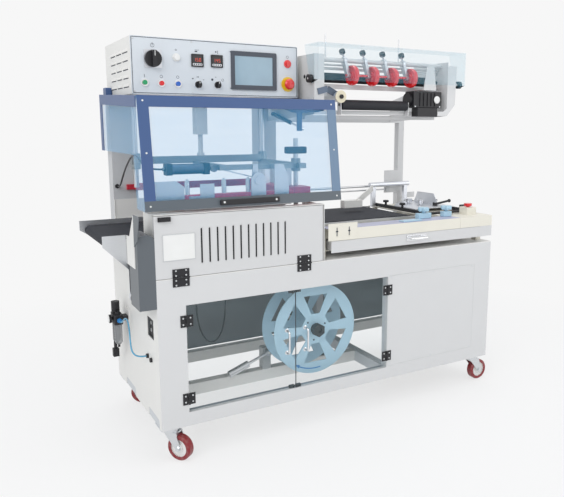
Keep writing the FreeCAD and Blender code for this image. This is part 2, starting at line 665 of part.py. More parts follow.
def make_hood():
    """Clear hood, its dark edge strips, pull, arms and pivots."""
    _, back, length = hood_dir()
    x0, x1 = HOOD_X
    py, pz = PIVOT
    front = slab(x0, x1, 0, length, 0, HOOD_T)
    inset = (HOOD_T * back[0], HOOD_T * back[1])
    sheet = ((HOOD_FOOT[0] + inset[0], HOOD_FOOT[1] + inset[1]), (105, HOOD_FOOT[1]),
             (125, 1157), (640, 1157), (640, 1390),
             (HOOD_HEAD[0] + inset[0], HOOD_HEAD[1] + inset[1]))
    side = plate_x(sheet, x0, x0 + HOOD_T)
    put("hood_shell", front, side)
    t = -HOOD_STRIP
    band = HOOD_BAND
    put("hood_frame", slab(x0, x1, 0, 37, t, 0), slab(x0, x1, length - band, length, t, 0),
        slab(x0, x0 + band, 37, length - band, t, 0), slab(x1 - band, x1, 37, length - band, t, 0))
    pull = slab(250, 490, 8, 28, t - 12, t)
    put("hood_frame", soften(pull, 4.0, (1, 0, 0)))
    xs = x0 - HOOD_STRIP
    top = ((sheet[5][0], sheet[5][1]), (640, 1390), (640, 1390 - band),
           (sheet[5][0] + 4, sheet[5][1] - band))
    put("hood_frame", plate_x(top, xs, x0), plate_x(((640 - band, 1157), (640, 1157),
                                                     (640, 1390 - band), (640 - band, 1348)), xs, x0))
    block = box(x0 + HOOD_T, -1.0, py - 25, py + 24, pz - 32, pz + 20)
    boss = rod((-1.0, py, pz), (BOX_X[0] - FACE, py, pz), 20.0)
    pin = rod((BOX_X[0] - FACE, py, pz), (BOX_X[0] + 14, py, pz), HOOD_PIN_R)
    put("hood_frame", fuse(soften(block, 5.0, (1, 0, 0)), boss, pin))
    top_in = (HOOD_HEAD[0] + inset[0], HOOD_HEAD[1] + inset[1] - 4)
    arm = plate_x((top_in, (200, top_in[1] + 4), (py, pz + 18), (py, pz - 18),
                   (STRUT_FRONT[0] + 60, top_in[1] - 42), (STRUT_FRONT[0] + 21, top_in[1] - 44),
                   (STRUT_FRONT[0] + 21, STRUT_FRONT[1] - 10),
                   (STRUT_FRONT[0] - 21, STRUT_FRONT[1] - 10),
                   (STRUT_FRONT[0] - 21, top_in[1] - 44), (top_in[0] - 5, top_in[1] - 44)),
                  ARM_X, ARM_X + ARM_T)
    eye = rod((ARM_X, py, pz), (ARM_X + ARM_T, py, pz), 18.0)
    foot = slab(ARM_X + ARM_T, ARM_X + 22, length - 44, length - 6, HOOD_T, HOOD_T + 4)
    stem = rod((BOX_X[1] - 14, py, pz), (ARM_X, py, pz), HOOD_PIN_R)
    put("hood_frame", fuse(arm, eye), foot, stem)


def make_strut():
    """Gas strut beside the hood arm: barrel at the rear, rod at the front."""
    fy, fz = STRUT_FRONT
    ry, rz = STRUT_REAR
    length = math.hypot(fy - ry, fz - rz)
    uy, uz = (fy - ry) / length, (fz - rz) / length
    at = [(STRUT_X, ry + uy * d, rz + uz * d) for d in (8.0, 150.0, 156.0, length - 6.0)]
    stop = length - 110.0
    mouth = (STRUT_X, ry + uy * stop, rz + uz * stop)
    barrel = rod(at[0], mouth, STRUT_R)
    barrel = barrel.cut(rod((STRUT_X, ry + uy * 20, rz + uz * 20), mouth, ROD_R + RUN))
    eye = ring_of(9.0, 4.0 + RUN, (STRUT_X - 5, ry, rz), (1, 0, 0), 10.0)
    barrel = fuse(barrel, eye).cut(rod((STRUT_X - 9, ry, rz), (STRUT_X + 9, ry, rz), 4.0 + RUN))
    put("strut_barrel", barrel)
    deep = stop - 112.0
    inner = (STRUT_X, ry + uy * deep, rz + uz * deep)
    bar = rod(inner, at[3], ROD_R)
    end = ring_of(8.0, 3.0, (STRUT_X - 5, fy, fz), (1, 0, 0), 10.0)
    stud = rod((ARM_X + ARM_T + FACE, fy, fz), (STRUT_X + 8, fy, fz), 4.0)
    put("strut_rod", fuse(bar, end, stud))


# ------------------------------------------------------------------ seal head
BLADE_TOP = JAW_Z[0] - BLADE_DROP
LOWER_TOP = BLADE_TOP - HEAD_TRAVEL - SEAL_GAP


def make_seal_head():
    """Carriage beams, lift rod and the red jaws they carry."""
    bz0, bz1 = BEAM_Z
    by0, by1 = BEAM_Y
    mid_y = (by0 + by1) / 2
    rear = box(40, 648, by0, by1, bz0, bz1)
    arm_z = (bz0 - 12, bz0 + 8)
    arm = box(FRONT_POST[0] - 16, FRONT_POST[0] + 16, 60, by0, *arm_z)
    tie = box(300, 322, 108, by0, *arm_z)
    front = box(285, 616, 86, 108, *arm_z)
    bushes = [rod((x, y, bz0 - 20), (x, y, bz1 + 14), 19.0) for x, y in REAR_POSTS]
    bushes.append(rod(FRONT_POST + (arm_z[0] - 14,), FRONT_POST + (arm_z[1] + 18,), 19.0))
    body = fuse(rear, arm, tie, front, *bushes)
    bores = [rod((x, y, bz0 - 60), (x, y, bz1 + 60), POST_R + RUN)
             for x, y in REAR_POSTS + (FRONT_POST,)]
    put("jaw_carriage", cut(body, *bores))
    lift = rod((LIFT_X, mid_y, bz1), (LIFT_X, mid_y, bz1 + 215), SHAFT_R)
    collar = hexagon((LIFT_X, mid_y, bz1), 17.0, (0, 0, 1), 12.0)
    put("jaw_carriage", fuse(lift, collar))
    cy, cz, cr = 150.0, arm_z[0] + 6, 20.0
    barrel = rod((93, cy, cz), (262, cy, cz), cr)
    caps = [soften(box(x, x + 22, cy - cr - 2, cy + cr + 2, cz - cr - 2, cz + cr + 2),
                   5.0, (1, 0, 0)) for x in (93, 240)]
    nose = box(262, 300, cy - 10, cy + 10, cz - 8, cz + 8)
    put("jaw_carriage", fuse(barrel, nose, *caps))
    knob = rod((280, cy - 10, cz), (280, cy - 22, cz), 14.0)
    put("jaw_carriage", knob)
    jx, jy, jz = FRONT_JAW_X, FRONT_JAW_Y, JAW_Z
    bar = soften(box(jx[0], jx[1], jy[0], jy[1], jz[0], jz[1]), 3.0, (1, 0, 0))
    yc = (jy[0] + jy[1]) / 2
    blade = box(jx[0] + 6, jx[1] - 6, yc - 3, yc + 3, BLADE_TOP, jz[0])
    sx, sy = SIDE_JAW_X, SIDE_JAW_Y
    side = soften(box(sx[0], sx[1], sy[0], sy[1], jz[0], jz[1]), 3.0, (0, 1, 0))
    xc = (sx[0] + sx[1]) / 2
    side_blade = box(xc - 3, xc + 3, sy[0] + 6, sy[1] - 6, BLADE_TOP, jz[0])
    fx, fy = FRONT_POST
    block = box(jx[1] + 2, sx[1] + 4, jy[0], sy[0], jz[0] - 6, jz[1] + 10)
    block = block.cut(rod((fx, fy, jz[0] - 10), (fx, fy, jz[1] + 20), POST_R + RUN))
    link = box(jx[1] - 40, jx[1] + 2, jy[0] + 4, jy[1] - 4, jz[1], jz[1] + 10)
    put("upper_jaws", fuse(bar, blade), fuse(side, side_blade), fuse(block, link))
    for x in (150.0, 295.0, 395.0):
        spring = ring_of(9.0, 4.0, (x, yc, jz[1]), (0, 0, 1), 46.0)
        bolt = fuse(rod((x, yc, jz[1]), (x, yc, jz[1] + 58), 4.0),
                    hexagon((x, yc, jz[1] + 46), 9.0, (0, 0, 1), 7.0))
        put("upper_jaws", fuse(spring, bolt))
    make_hangers(yc, arm_z)


def make_hangers(yc, arm_z):
    """Plates, bearing bracket and legs between the beams and the jaws."""
    y0, y1 = FRONT_JAW_Y[0] - 6, FRONT_JAW_Y[0]
    foot = JAW_Z[0] + 12
    house = plate_y(((15, foot), (132, foot), (132, 1040), (104, 1062), (15, 1062)), y0, y1)
    put("jaw_hangers", house)
    put("jaw_hangers", plate_y(((150, foot), (249, foot), (249, 1048), (194, 1048),
                                (194, 1004), (150, 1004)), y0, y1))
    xb, zb = 432.0, 1052.0
    bearing = fuse(plate_y(((xb - 31, foot), (xb + 31, foot), (xb + 31, zb), (xb - 31, zb)),
                           y0, y1), rod((xb, y0, zb), (xb, y1, zb), 31.0))
    bearing = bearing.cut(rod((xb, y0, zb), (xb, y1, zb), 9.0))
    shaft = fuse(rod((xb, y0 - 5, zb), (xb, FRONT_JAW_Y[1] + 16, zb), 9.0),
                 ring_of(17.0, 8.0, (xb, y0 - 4, zb), (0, 1, 0), 4.0))
    put("jaw_hangers", bearing, shaft)
    crank = plate_y(((xb - 16, zb - 10), (xb + 16, zb - 10), (xb + 10, arm_z[1]),
                     (xb - 10, arm_z[1])), 80, 86)
    crank = crank.cut(rod((xb, 80, zb), (xb, 86, zb), 9.0))
    put("jaw_hangers", crank)
    put("jaw_hangers", plate_y(((501, foot), (564, foot), (564, 1060), (540, arm_z[1]),
                                (501, arm_z[1])), y0, y1))
    put("jaw_hangers", box(501, 535, y1, 86, arm_z[0], arm_z[1]))
    dx, dz = 300.0, arm_z[0]
    link = plate_y(((dx, dz), (dx + 22, dz), (xb + 8, zb + 9), (xb - 4, zb + 9)), 96, 102)
    put("jaw_hangers", link.cut(rod((xb, 90, zb), (xb, 110, zb), 9.0)))
    sx = (SIDE_JAW_X[0] + SIDE_JAW_X[1]) / 2
    for y in (180.0, 390.0):
        put("jaw_hangers", box(sx - 12, sx + 12, y, y + 24, JAW_Z[1], arm_z[0]))


def make_fixed_head():
    """Guide posts, lift cylinder, lower jaws and the rear guard."""
    bz = BOX_Z[0]
    fx, fy = FRONT_POST
    put("jaw_guides", fuse(rod((fx, fy, BASE_TOP), (fx, fy, 1212), POST_R),
                           box(fx - 24, fx + 24, fy - 24, fy + 12, BASE_TOP, BASE_TOP + 12)))
    clamp = soften(box(fx - 45, fx + 44, fy - 14, fy + 14, 1150, 1178), 6.0, (0, 1, 0))
    put("jaw_guides", clamp.cut(rod((fx, fy, 1140), (fx, fy, 1190), POST_R)))
    for x, y in REAR_POSTS:
        post = fuse(rod((x, y, JAW_Z[1] + 2), (x, y, bz), POST_R),
                    rod((x, y, bz - 12), (x, y, bz), 28.0))
        put("jaw_guides", post)
    ly = (BEAM_Y[0] + BEAM_Y[1]) / 2
    low = BEAM_Z[1] + 90
    barrel = soften(box(LIFT_X - LIFT_R, LIFT_X + LIFT_R, ly - LIFT_R, ly + LIFT_R, low, bz),
                    8.0, (0, 0, 1))
    bore = rod((LIFT_X, ly, low), (LIFT_X, ly, bz - 20), SHAFT_R + RUN)
    put("jaw_guides", barrel.cut(bore))
    jx, jy = FRONT_JAW_X, FRONT_JAW_Y
    floor = BASE_TOP
    top = LOWER_TOP
    sx, sy = SIDE_JAW_X, SIDE_JAW_Y
    bar = box(jx[0], jx[1], jy[0] - 2, jy[1] + 2, top - 40, top - 6)
    pad = box(jx[0], jx[1], jy[0] + 6, jy[1] - 6, top - 6, top)
    put("lower_jaws", fuse(bar, pad))
    side = box(sx[0] + 6, sx[1] - 6, sy[0], sy[1], top - 40, top - 6)
    side_pad = box(sx[0] + 20, sx[1] - 20, sy[0], sy[1], top - 6, top)
    put("lower_jaws", fuse(side, side_pad))
    for x in (jx[0] + 20, jx[1] - 60):
        put("lower_jaws", box(x, x + 40, jy[0], jy[1], floor, top - 40))
    for y in (sy[0] + 40, sy[1] - 80):
        put("lower_jaws", box(sx[0] + 10, sx[1] - 10, y, y + 40, floor, top - 40))
    gy = COLUMN_Y[0] - 1
    guard = box(LEFT_COLUMN_X[1] - 10, RIGHT_COLUMN_X[0] + 10, gy - 16, gy - 4, 983, 1014)
    ties = [box(x, x + 40, gy - 4, gy + 1, 988, 1010)
            for x in (LEFT_COLUMN_X[1] - 50, RIGHT_COLUMN_X[0] + 2)]
    ends = [box(x, x + 56, gy - 16, gy - 4, 988, 1010)
            for x in (LEFT_COLUMN_X[1] - 50, RIGHT_COLUMN_X[0] - 10)]
    put("lower_jaws", fuse(guard, *(ties + ends)))


# ------------------------------------------------------------------ conveyors
def belt_loop(x0, x1, y0, y1):
    """Endless belt round two end rollers, with the rollers in it."""
    zc = BELT_TOP - BELT_R
    outer, inner = BELT_R, BELT_R - BELT_T
    rounds = []
    for radius in (outer, inner):
        a, b = x0 + BELT_R, x1 - BELT_R
        slab_xz = box(a, b, y0, y1, zc - radius, zc + radius)
        rounds.append(fuse(slab_xz, rod((a, y0, zc), (a, y1, zc), radius),
                           rod((b, y0, zc), (b, y1, zc), radius)))
    return rounds[0].cut(rounds[1])


def make_outfeed():
    """Outfeed belt, its side plates, bed and the drive at its left end."""
    x0, x1 = OUT_BELT_X
    y0, y1 = OUT_BELT_Y
    zc = BELT_TOP - BELT_R
    put("conveyor_belts", belt_loop(x0, x1, y0, y1))
    inner = BELT_R - BELT_T - FACE
    fy = INNER_Y + SHEET + 5.0
    front = ((x0 - 20, 825), (x0 - 20, 865), (-66, 865), (-66, BELT_TOP + 4), (x1 + 4, BELT_TOP + 4),
             (x1 + 4, 786), (0, 786), (-20, 734), (-20, 640), (-60, 640), (-60, 734))
    take_up = rod((-40, fy - 12, 628), (-40, fy + 16, 628), 22.0)
    put("outfeed_frame", fuse(plate_y(front, fy, fy + OUT_PLATE), take_up))
    rear = ((x0 - 20, 825), (x0 - 20, 865), (x1 + 4, 865), (x1 + 4, 786), (-90, 786))
    ry = y1 + 8.0
    put("outfeed_frame", plate_y(rear, ry, ry + OUT_PLATE))
    for x in (x0 + BELT_R, x1 - BELT_R):
        put("outfeed_frame", fuse(rod((x, y0 - 2, zc), (x, y1 + 2, zc), inner),
                                  rod((x, fy + OUT_PLATE, zc), (x, ry, zc), 8.0)))
    bed = box(x0 + 2 * BELT_R, x1 - 2 * BELT_R, y0, y1, BELT_TOP - BELT_T - 5, BELT_TOP - BELT_T)
    put("outfeed_frame", bed)
    for x in (60.0, 480.0):
        put("outfeed_frame", box(x, x + 30, fy + OUT_PLATE, ry, zc - 12, zc + 10))
        for y in (fy + OUT_PLATE, ry - 30):
            put("outfeed_frame", box(x, x + 30, y, y + 30, BASE_TOP, zc - BELT_R - 3))


def make_drive():
    """Rounded drive cover on the left end and the bent guard beside it."""
    x0, x1 = -62.0, 0.0
    z0, z1 = 608.0, 881.0
    depth = INNER_Y - 15
    body = box(x0, x1, 0, depth, z0, z1)
    edges = [e for e in body.Edges if abs(abs(e.tangentAt(e.FirstParameter).y) - 1) < 1e-6
             and e.CenterOfMass.z > z1 - 1]
    body = body.makeFillet(26.0, edges)
    shell = body.cut(box(x0 + 2, x1 - 2, 2, depth - 2, z0 + 2, z1 - 30))
    put("drive_cover", shell)
    wing = ((32, 758), (138, 758), (138, 865), (96, 865), (29, 953), (-47, 953), (-16, 865),
            (32, 838))
    put("drive_cover", plate_x(wing, x0 - SHEET, x0))


def make_infeed():
    """Infeed bed, drawer front strip, belt and film formers."""
    s = SHEET
    x0, x1 = IN_BELT_X
    y0, y1 = IN_BELT_Y
    zc = BELT_TOP - BELT_R
    put("conveyor_belts", belt_loop(x0, x1, y0, y1))
    inner = BELT_R - BELT_T - FACE
    fz = (BELT_TOP - 53.0, BELT_TOP - 4.0)
    joint = BASE_L - 200.0
    strip = box(x0 + 25, joint - 0.5, 0, s, fz[0], fz[1])
    strip_lip = box(x0 + 25, joint - 0.5, s, 90, fz[1] - s, fz[1])
    put("infeed_table", fuse(strip, strip_lip))
    strip = box(joint + 0.5, BASE_L, 0, s, fz[0], fz[1])
    strip_lip = box(joint + 0.5, BASE_L, s, 160, fz[1] - s, fz[1])
    put("infeed_table", fuse(strip, strip_lip))
    mouth = box(x0 + 12, x0 + 154, -s, 0, fz[0] + 2, BELT_TOP + 20)
    slots = [soften(box(x, x + 14, -s, 0, fz[0] + 14, BELT_TOP + 8), 6.5, (0, 1, 0))
             for x in (x0 + 46, x0 + 106)]
    put("infeed_table", cut(mouth, *slots))
    top = box(x0, BASE_L, 100, INFEED_D, fz[0], fz[0] + s)
    put("infeed_table", top)
    for y in (y0 - 14.0, y1 + 8.0):
        put("infeed_table", box(x0 + 2, x1 + 30, y, y + 4, fz[0] + s, BELT_TOP - 2))
    for x in (x0 + BELT_R, x1 - BELT_R):
        put("infeed_table", fuse(rod((x, y0 - 2, zc), (x, y1 + 2, zc), inner),
                                 rod((x, y0 - 10, zc), (x, y1 + 8, zc), 8.0)))
    put("infeed_table", box(x0 + 2 * BELT_R, x1 - 2 * BELT_R, y0, y1,
                            BELT_TOP - BELT_T - 5, BELT_TOP - BELT_T))
    for x, y in ((x0 + 6, 60.0), (BASE_L - 42, 60.0), (x0 + 6, INFEED_D - 30),
                 (x1 - 130, INFEED_D - 30), (BASE_L - 42, INFEED_D - 30)):
        put("infeed_table", box(x, x + 30, y, y + 30, BASE_TOP, fz[0]))
    put("infeed_table", box(x0 + 6, BASE_L - 12, 60, 90, fz[0], fz[1] - s))
    under = DRAWER_Z[0] + 2 - FACE
    for a, b in ((x0 + 36, x0 + 62), (BASE_L - 60, BASE_L - 42)):
        put("infeed_table", box(a, b, 62, INFEED_D, under - 5, under))
    deck = box(x1 + 36, BASE_L, 162, INFEED_D, BELT_TOP - 6, BELT_TOP - 3)
    legs = [box(x, x + 20, y, y + 20, fz[0] + s, BELT_TOP - 6)
            for x in (x1 + 60, BASE_L - 40) for y in (180, INFEED_D - 24)]
    put("infeed_table", fuse(deck, *legs))


DRAWER_Z = (BELT_TOP - 103.0, BELT_TOP - 54.0)


def make_former():
    """Slide rails, former plates, clamps and the infeed stop button."""
    z = BELT_TOP - 3.0
    a = IN_BELT_X[1] + 55.0
    b = BASE_L - 44.0
    for x in (a, b):
        put("former_rails", box(x, x + 14, 175, INFEED_D - 2, z, z + 16))
    for x, y in ((a - 14, 166), (b - 8, 166)):
        put("former_rails", soften(box(x, x + 40, y, y + 9, z, z + 34), 4.0, (0, 1, 0)))
    pipe_z = BELT_TOP + 110.0
    legs = [box(x, x + 22, 551, 569, z, pipe_z - 8) for x in (a - 23, b - 65)]
    put("former_rails", fuse(rod((a - 35, 560, pipe_z), (b - 31, 560, pipe_z), 13.0), *legs))
    plate_z0 = z + 16 + FACE
    body = plate_z(((a + 7, 230), (b + 8, 230), (b + 8, 520), (b - 126, 520), (a + 7, 400)),
                   plate_z0, plate_z0 + 4)
    shoes = [box(x - 6, x - FACE, 240, 300, z + 3, plate_z0) for x in (b,)]
    put("former_plates", fuse(body, *shoes))
    fold = plate_x(((300, plate_z0 + 4), (500, plate_z0 + 4), (470, plate_z0 + 60),
                    (340, plate_z0 + 60)), b - 36, b - 33)
    put("former_plates", fold)
    for x, y in ((b - 126, 430), (b - 111, 350)):
        put("former_plates", fuse(rod((x, y, plate_z0 + 4), (x, y, plate_z0 + 12), 8.0),
                                  rod((x, y, plate_z0 + 12), (x, y, plate_z0 + 30), 18.0)))
    px, py = b - 66.0, 290.0
    post = rod((px, py, plate_z0 + 4), (px, py, plate_z0 + 22), 7.0)
    put("former_plates", post)
    hub = ring_of(12.0, 7.0 + RUN, (px, py, plate_z0 + 5), (0, 0, 1), 15.0)
    lever = rod((px + 10, py, plate_z0 + 13), (px + 92, py, plate_z0 + 24), 5.5)
    ball = Part.makeSphere(9.0, V(px + 94, py, plate_z0 + 24))
    put("clamp_lever", fuse(hub, lever, ball))
    ex, ey = b - 30.0, 90.0
    ez = BELT_TOP - 4.0
    base = box(ex - 30, ex + 30, ey - 30, ey + 30, ez, ez + 34)
    base = soften(base, 6.0, (0, 0, 1)).cut(rod((ex, ey, ez + 10), (ex, ey, ez + 34), 9.0))
    put("infeed_table", base)
    stop = fuse(rod((ex, ey, ez + 22), (ex, ey, ez + 40), 9.0 - RUN),
                rod((ex, ey, ez + 40), (ex, ey, ez + 52), 19.0))
    put("infeed_stop", stop)


def make_drawer():
    """Scrap drawer under the infeed with a bail pull."""
    s = SHEET
    z0, z1 = DRAWER_Z
    x0, x1 = IN_BELT_X[0] + 28.0, BASE_L
    body = box(x0, x1, 0, s, z0, z1)
    tray = box(x0 + 18, x1 - 44, s, 560, z0 + 2, z1 - 6)
    tray = tray.cut(box(x0 + 18 + s, x1 - 44 - s, s, 560 - s, z0 + 2 + s, z1 - 6))
    put("infeed_drawer", fuse(body, tray))
    xc, w, zc = (x0 + x1) / 2 - 7.0, 90.0, z0 + 30.0
    bail = swept(bent(((xc - w / 2, 0, zc), (xc - w / 2, -32, zc), (xc + w / 2, -32, zc),
                       (xc + w / 2, 0, zc)), 10.0), 4.0)
    put("infeed_drawer", bail.fuse(box(xc - w / 2 - 12, xc + w / 2 + 12, -s, 0, zc - 14, zc + 14)))


# ------------------------------------------------------------------- unwinder
PERF_GAP = 0.3
PERF_TILT = 8.0
UPPER_SHAFT = (200.0, 1542.0)
RAIL_Y = (196.0, 216.0)
RAIL_Z = (1312.0, 1329.0)
REST_POST = (BASE_L - 117.0, 36.0)
CRADLE_REAR = COLUMN_Y[0]


def perf_axis():
    """Perforator shaft, held off the rubber roller by a small gap."""
    reach = RUBBER_R + PERF_R + PERF_GAP
    t = math.radians(PERF_TILT)
    return RUBBER_AXIS[0] - reach * math.cos(t), RUBBER_AXIS[1] + reach * math.sin(t)


def make_unwinder_frame():
    """Film cradle: side plates, cross bars, support post and brackets."""
    x0, x1 = CRADLE_X
    y0 = CRADLE_Y
    top, low = 1558.0, 1310.0
    side = ((y0, low), (y0, top), (400, top), (470, 1420), (CRADLE_REAR, 1390),
            (CRADLE_REAR, low - 26))
    inner = (x0 + 3.0, 1461.0)
    bores = []
    for (y, z), r in ((RUBBER_AXIS, 8.0 + RUN), (UPPER_SHAFT, SHAFT_R), (COVER_AXIS, 6.0)):
        bores.append(rod((x0 - 5, y, z), (x1 + 40, y, z), r))
    left = fuse(plate_x(side, x0, inner[0]),
                box(x0, x0 + 48, y0 - 2, y0, low, top))
    put("unwinder_frame", cut(left, *bores))
    flange = plate_y(((1406, low), (1463, low), (1511, 1363), (1514, 1541), (inner[1], 1541),
                      (inner[1], 1344), (1440, 1330), (1406, 1330)), y0 - 2, y0)
    right = fuse(plate_x(side, inner[1], inner[1] + 3), flange)
    put("unwinder_frame", cut(right, *bores))
    lx0, lx1 = inner[0], inner[1]
    uy, uz = UPPER_SHAFT
    put("unwinder_frame", rod((x0, uy, uz), (lx1 + 3, uy, uz), SHAFT_R))
    put("unwinder_frame", rod((lx0, 222, 1523), (lx1, 222, 1523), 4.0))
    put("unwinder_frame", box(lx0, lx1, 226, 232, 1502, 1514))
    put("unwinder_frame", box(lx0, lx1, 222, 242, 1422, 1442))
    put("unwinder_frame", box(lx0, lx1, RAIL_Y[0], RAIL_Y[1], RAIL_Z[0], RAIL_Z[1]))
    put("unwinder_frame", box(lx0, lx1, 236, 256, 1292, 1304))
    wire_bar = box(lx0, lx1, 226, 238, 1545, 1555)
    put("unwinder_frame", wire_bar)
    for x in (839.0, 1232.0):
        put("unwinder_frame", rod((x, 232, 1555), (x, 232, 1655), 3.0))
    fy, fz = FILM_AXIS
    for x in (FILM_X[0] - 7, FILM_X[1] + 4):
        ear = plate_x(((fy - 15, RAIL_Z[0] - 2), (RAIL_Y[0], RAIL_Z[0] - 2),
                       (RAIL_Y[0], fz + 16), (fy - 15, fz + 16)), x, x + 3)
        put("unwinder_frame", ear.cut(rod((x, fy, fz), (x + 3, fy, fz), 6.0 + RUN)))
    ix, iz = 846.0, 1384.0
    bar = rod((ix, 118, iz), (ix, 230, iz), 22.0)
    cap = rod((ix, 112, iz), (ix, 118, iz), 26.0)
    boss = rod((ix, 106, iz), (ix, 112, iz), 9.0)
    hold = box(ix - 22, ix + 22, 230, 234, iz - 24, 1422)
    put("unwinder_frame", bar, cap, boss, hold)
    lean = plate_y(((1321, 1426), (1396, 1426), (1380, 1535), (1340, 1535)), 152, 155)
    foot = box(1330, 1390, 155, 222, 1426, 1429)
    put("unwinder_frame", fuse(lean, foot))
    px, pw = REST_POST
    beam_z = (1280.0, 1316.0)
    by0 = CRADLE_REAR
    put("unwinder_frame", box(RIGHT_COLUMN_X[1], px + pw, by0, by0 + pw, *beam_z))
    put("unwinder_frame", box(px, px + pw, by0, by0 + pw, BASE_TOP, beam_z[0]))
    put("unwinder_frame", box(px - 91, px + 33, by0 - 3, by0, BELT_TOP + 60, BELT_TOP + 181))
    put("unwinder_frame", box(px + 2, BASE_L, by0 - 3, by0, BELT_TOP + 27, BELT_TOP + 57))
    cy, cz = COVER_AXIS
    put("unwinder_frame", rod((x0 - 1, cy, cz), (x0 - 22, cy, cz), 4.0).fuse(
        rod((x0 - 1, cy, cz), (inner[0], cy, cz), 6.0)).removeSplitter())
    put("unwinder_frame", rod((inner[1], cy, cz), (COVER_X[1] - 3 - FACE, cy, cz), 6.0).fuse(
        rod((COVER_X[1] - 3 - FACE, cy, cz), (COVER_X[1] + 4, cy, cz), 4.0)).removeSplitter())


def make_unwinder_movers():
    """Cover, rubber roller, perforator wheels and film roller."""
    x0, x1 = COVER_X
    y0 = COVER_Y
    z0, z1 = COVER_Z[0] + 7, COVER_Z[1]
    t = 3.0
    cy, cz = COVER_AXIS
    front = box(x0, x1, y0, y0 + t, z0, z1)
    lip = box(x0, x1, y0 + t, y0 + 115, z1 - t, z1)
    wing = ((y0 + t, z0), (cy, cz - 18), (cy + 16, cz - 6), (y0 + 115, z1 - t), (y0 + t, z1 - t))
    wings = []
    for x in (x0, x1 - t):
        hole = rod((x, cy, cz), (x + t, cy, cz), 4.0 + RUN)
        wings.append(plate_x(wing, x, x + t).cut(hole))
    put("unwinder_cover", front, lip, *wings)
    for a, b in ((x0 - 18, x0), (x1, x1 + 18)):
        knob = rod((a, cy, cz), (b, cy, cz), 17.0)
        knob = knob.cut(rod((a - 1, cy, cz), (b + 1, cy, cz), 4.0 + RUN))
        put("unwinder_cover", knob)
    ry, rz = RUBBER_AXIS
    roll = rod((RUBBER_X[0], ry, rz), (RUBBER_X[1], ry, rz), RUBBER_R)
    journal = rod((CRADLE_X[0] - 0.5, ry, rz), (1465, ry, rz), 8.0)
    put("rubber_roller", fuse(roll, journal))
    py, pz = perf_axis()
    shaft = rod((PERF_X[0] - 34, py, pz), (PERF_X[3] + 14, py, pz), 5.0)
    put("perforator_wheels", shaft)
    for xc in PERF_X:
        rim = ((5, -10), (16, -10), (18, -4), (PERF_R - 9, -4), (PERF_R - 7, -10),
               (PERF_R - 2, -10), (PERF_R, -2), (PERF_R, 2), (PERF_R - 2, 10), (PERF_R - 7, 10),
               (PERF_R - 9, 4), (18, 4), (16, 10), (5, 10))
        face = outline([(xc + x, py + r, pz) for r, x in rim])
        put("perforator_wheels", face.revolve(V(xc, py, pz), V(1, 0, 0), 360))
    fy, fz = FILM_AXIS
    film = rod((FILM_X[0], fy, fz), (FILM_X[1], fy, fz), FILM_R)
    ends = rod((FILM_X[0] - 8, fy, fz), (FILM_X[1] + 8, fy, fz), 6.0)
    put("film_roller", fuse(film, ends))


def make_perforator_arms():
    """Clamp arms with a slanted stem and a cup knob, one per wheel."""
    py, pz = perf_axis()
    uy, uz = UPPER_SHAFT
    for xc in PERF_X:
        a, b = xc - 30, xc - 16
        web = plate_x(((py - 9, pz), (py + 9, pz - 4), (uy + 14, uz), (uy - 14, uz)), a, b)
        body = fuse(web, rod((a, py, pz), (b, py, pz), 11.0), rod((a, uy, uz), (b, uy, uz), 16.0))
        body = cut(body, rod((a, py, pz), (b, py, pz), 5.0 + RUN),
                   rod((a, uy, uz), (b, uy, uz), SHAFT_R))
        mid = (a + b) / 2
        stem_end = (mid - 14, uy - 10, uz + 30)
        stem = rod((mid, uy, uz + 12), stem_end, 4.0)
        stem = stem.cut(rod((a, uy, uz), (b, uy, uz), SHAFT_R + 2))
        put("perforator_arms", fuse(body, stem))
        direction = V(*stem_end) - V(mid, uy, uz + 12)
        direction.normalize()
        cup = Part.makeCylinder(13.0, 14.0, V(*stem_end), direction)
        put("perforator_arms", cup)


def make_unwinder_motor():
    """Black gear motor block hung on the front of the rail."""
    y0 = 152.0
    y1 = RAIL_Y[0]
    upper = soften(box(1265, 1429, y0, y1 + 20, 1346, 1421), 5.0, (1, 0, 0))
    lower = box(1289, 1406, y0, y1, 1306, 1346)
    put("unwinder_motor", fuse(upper, lower))
    put("unwinder_motor", rod((1253, 190, 1384), (1265, 190, 1384), 30.0))
    fins = [box(x, x + 5, y0 - 4, y0, 1354, 1414) for x in (1300, 1322, 1344, 1366, 1388)]
    put("unwinder_motor", *fins)


# ---------------------------------------------------------------- scrap spool
SPOOL_TUBE_Y = (262.0, 302.0)
DANCER = (557.0, 268.0)
DANCER_Y = (236.0, 252.0)
DANCER_DIP = 19.5


def spool_disc(y0):
    """Disc with six trapezoid windows."""
    x, z = SPOOL_X, SPOOL_Z
    disc = rod((x, y0, z), (x, y0 + DISC_T, z), SPOOL_R)
    windows = []
    for k in range(6):
        pts = []
        for radius, half in ((70.0, 17.0), (160.0, 21.0)):
            for sign in ((-1, 1) if radius < 100 else (1, -1)):
                t = math.radians(60 * k + 30 + sign * half)
                pts.append((x + radius * math.cos(t), z + radius * math.sin(t)))
        windows.append(plate_y(pts, y0, y0 + DISC_T))
    return cut(disc, *windows)


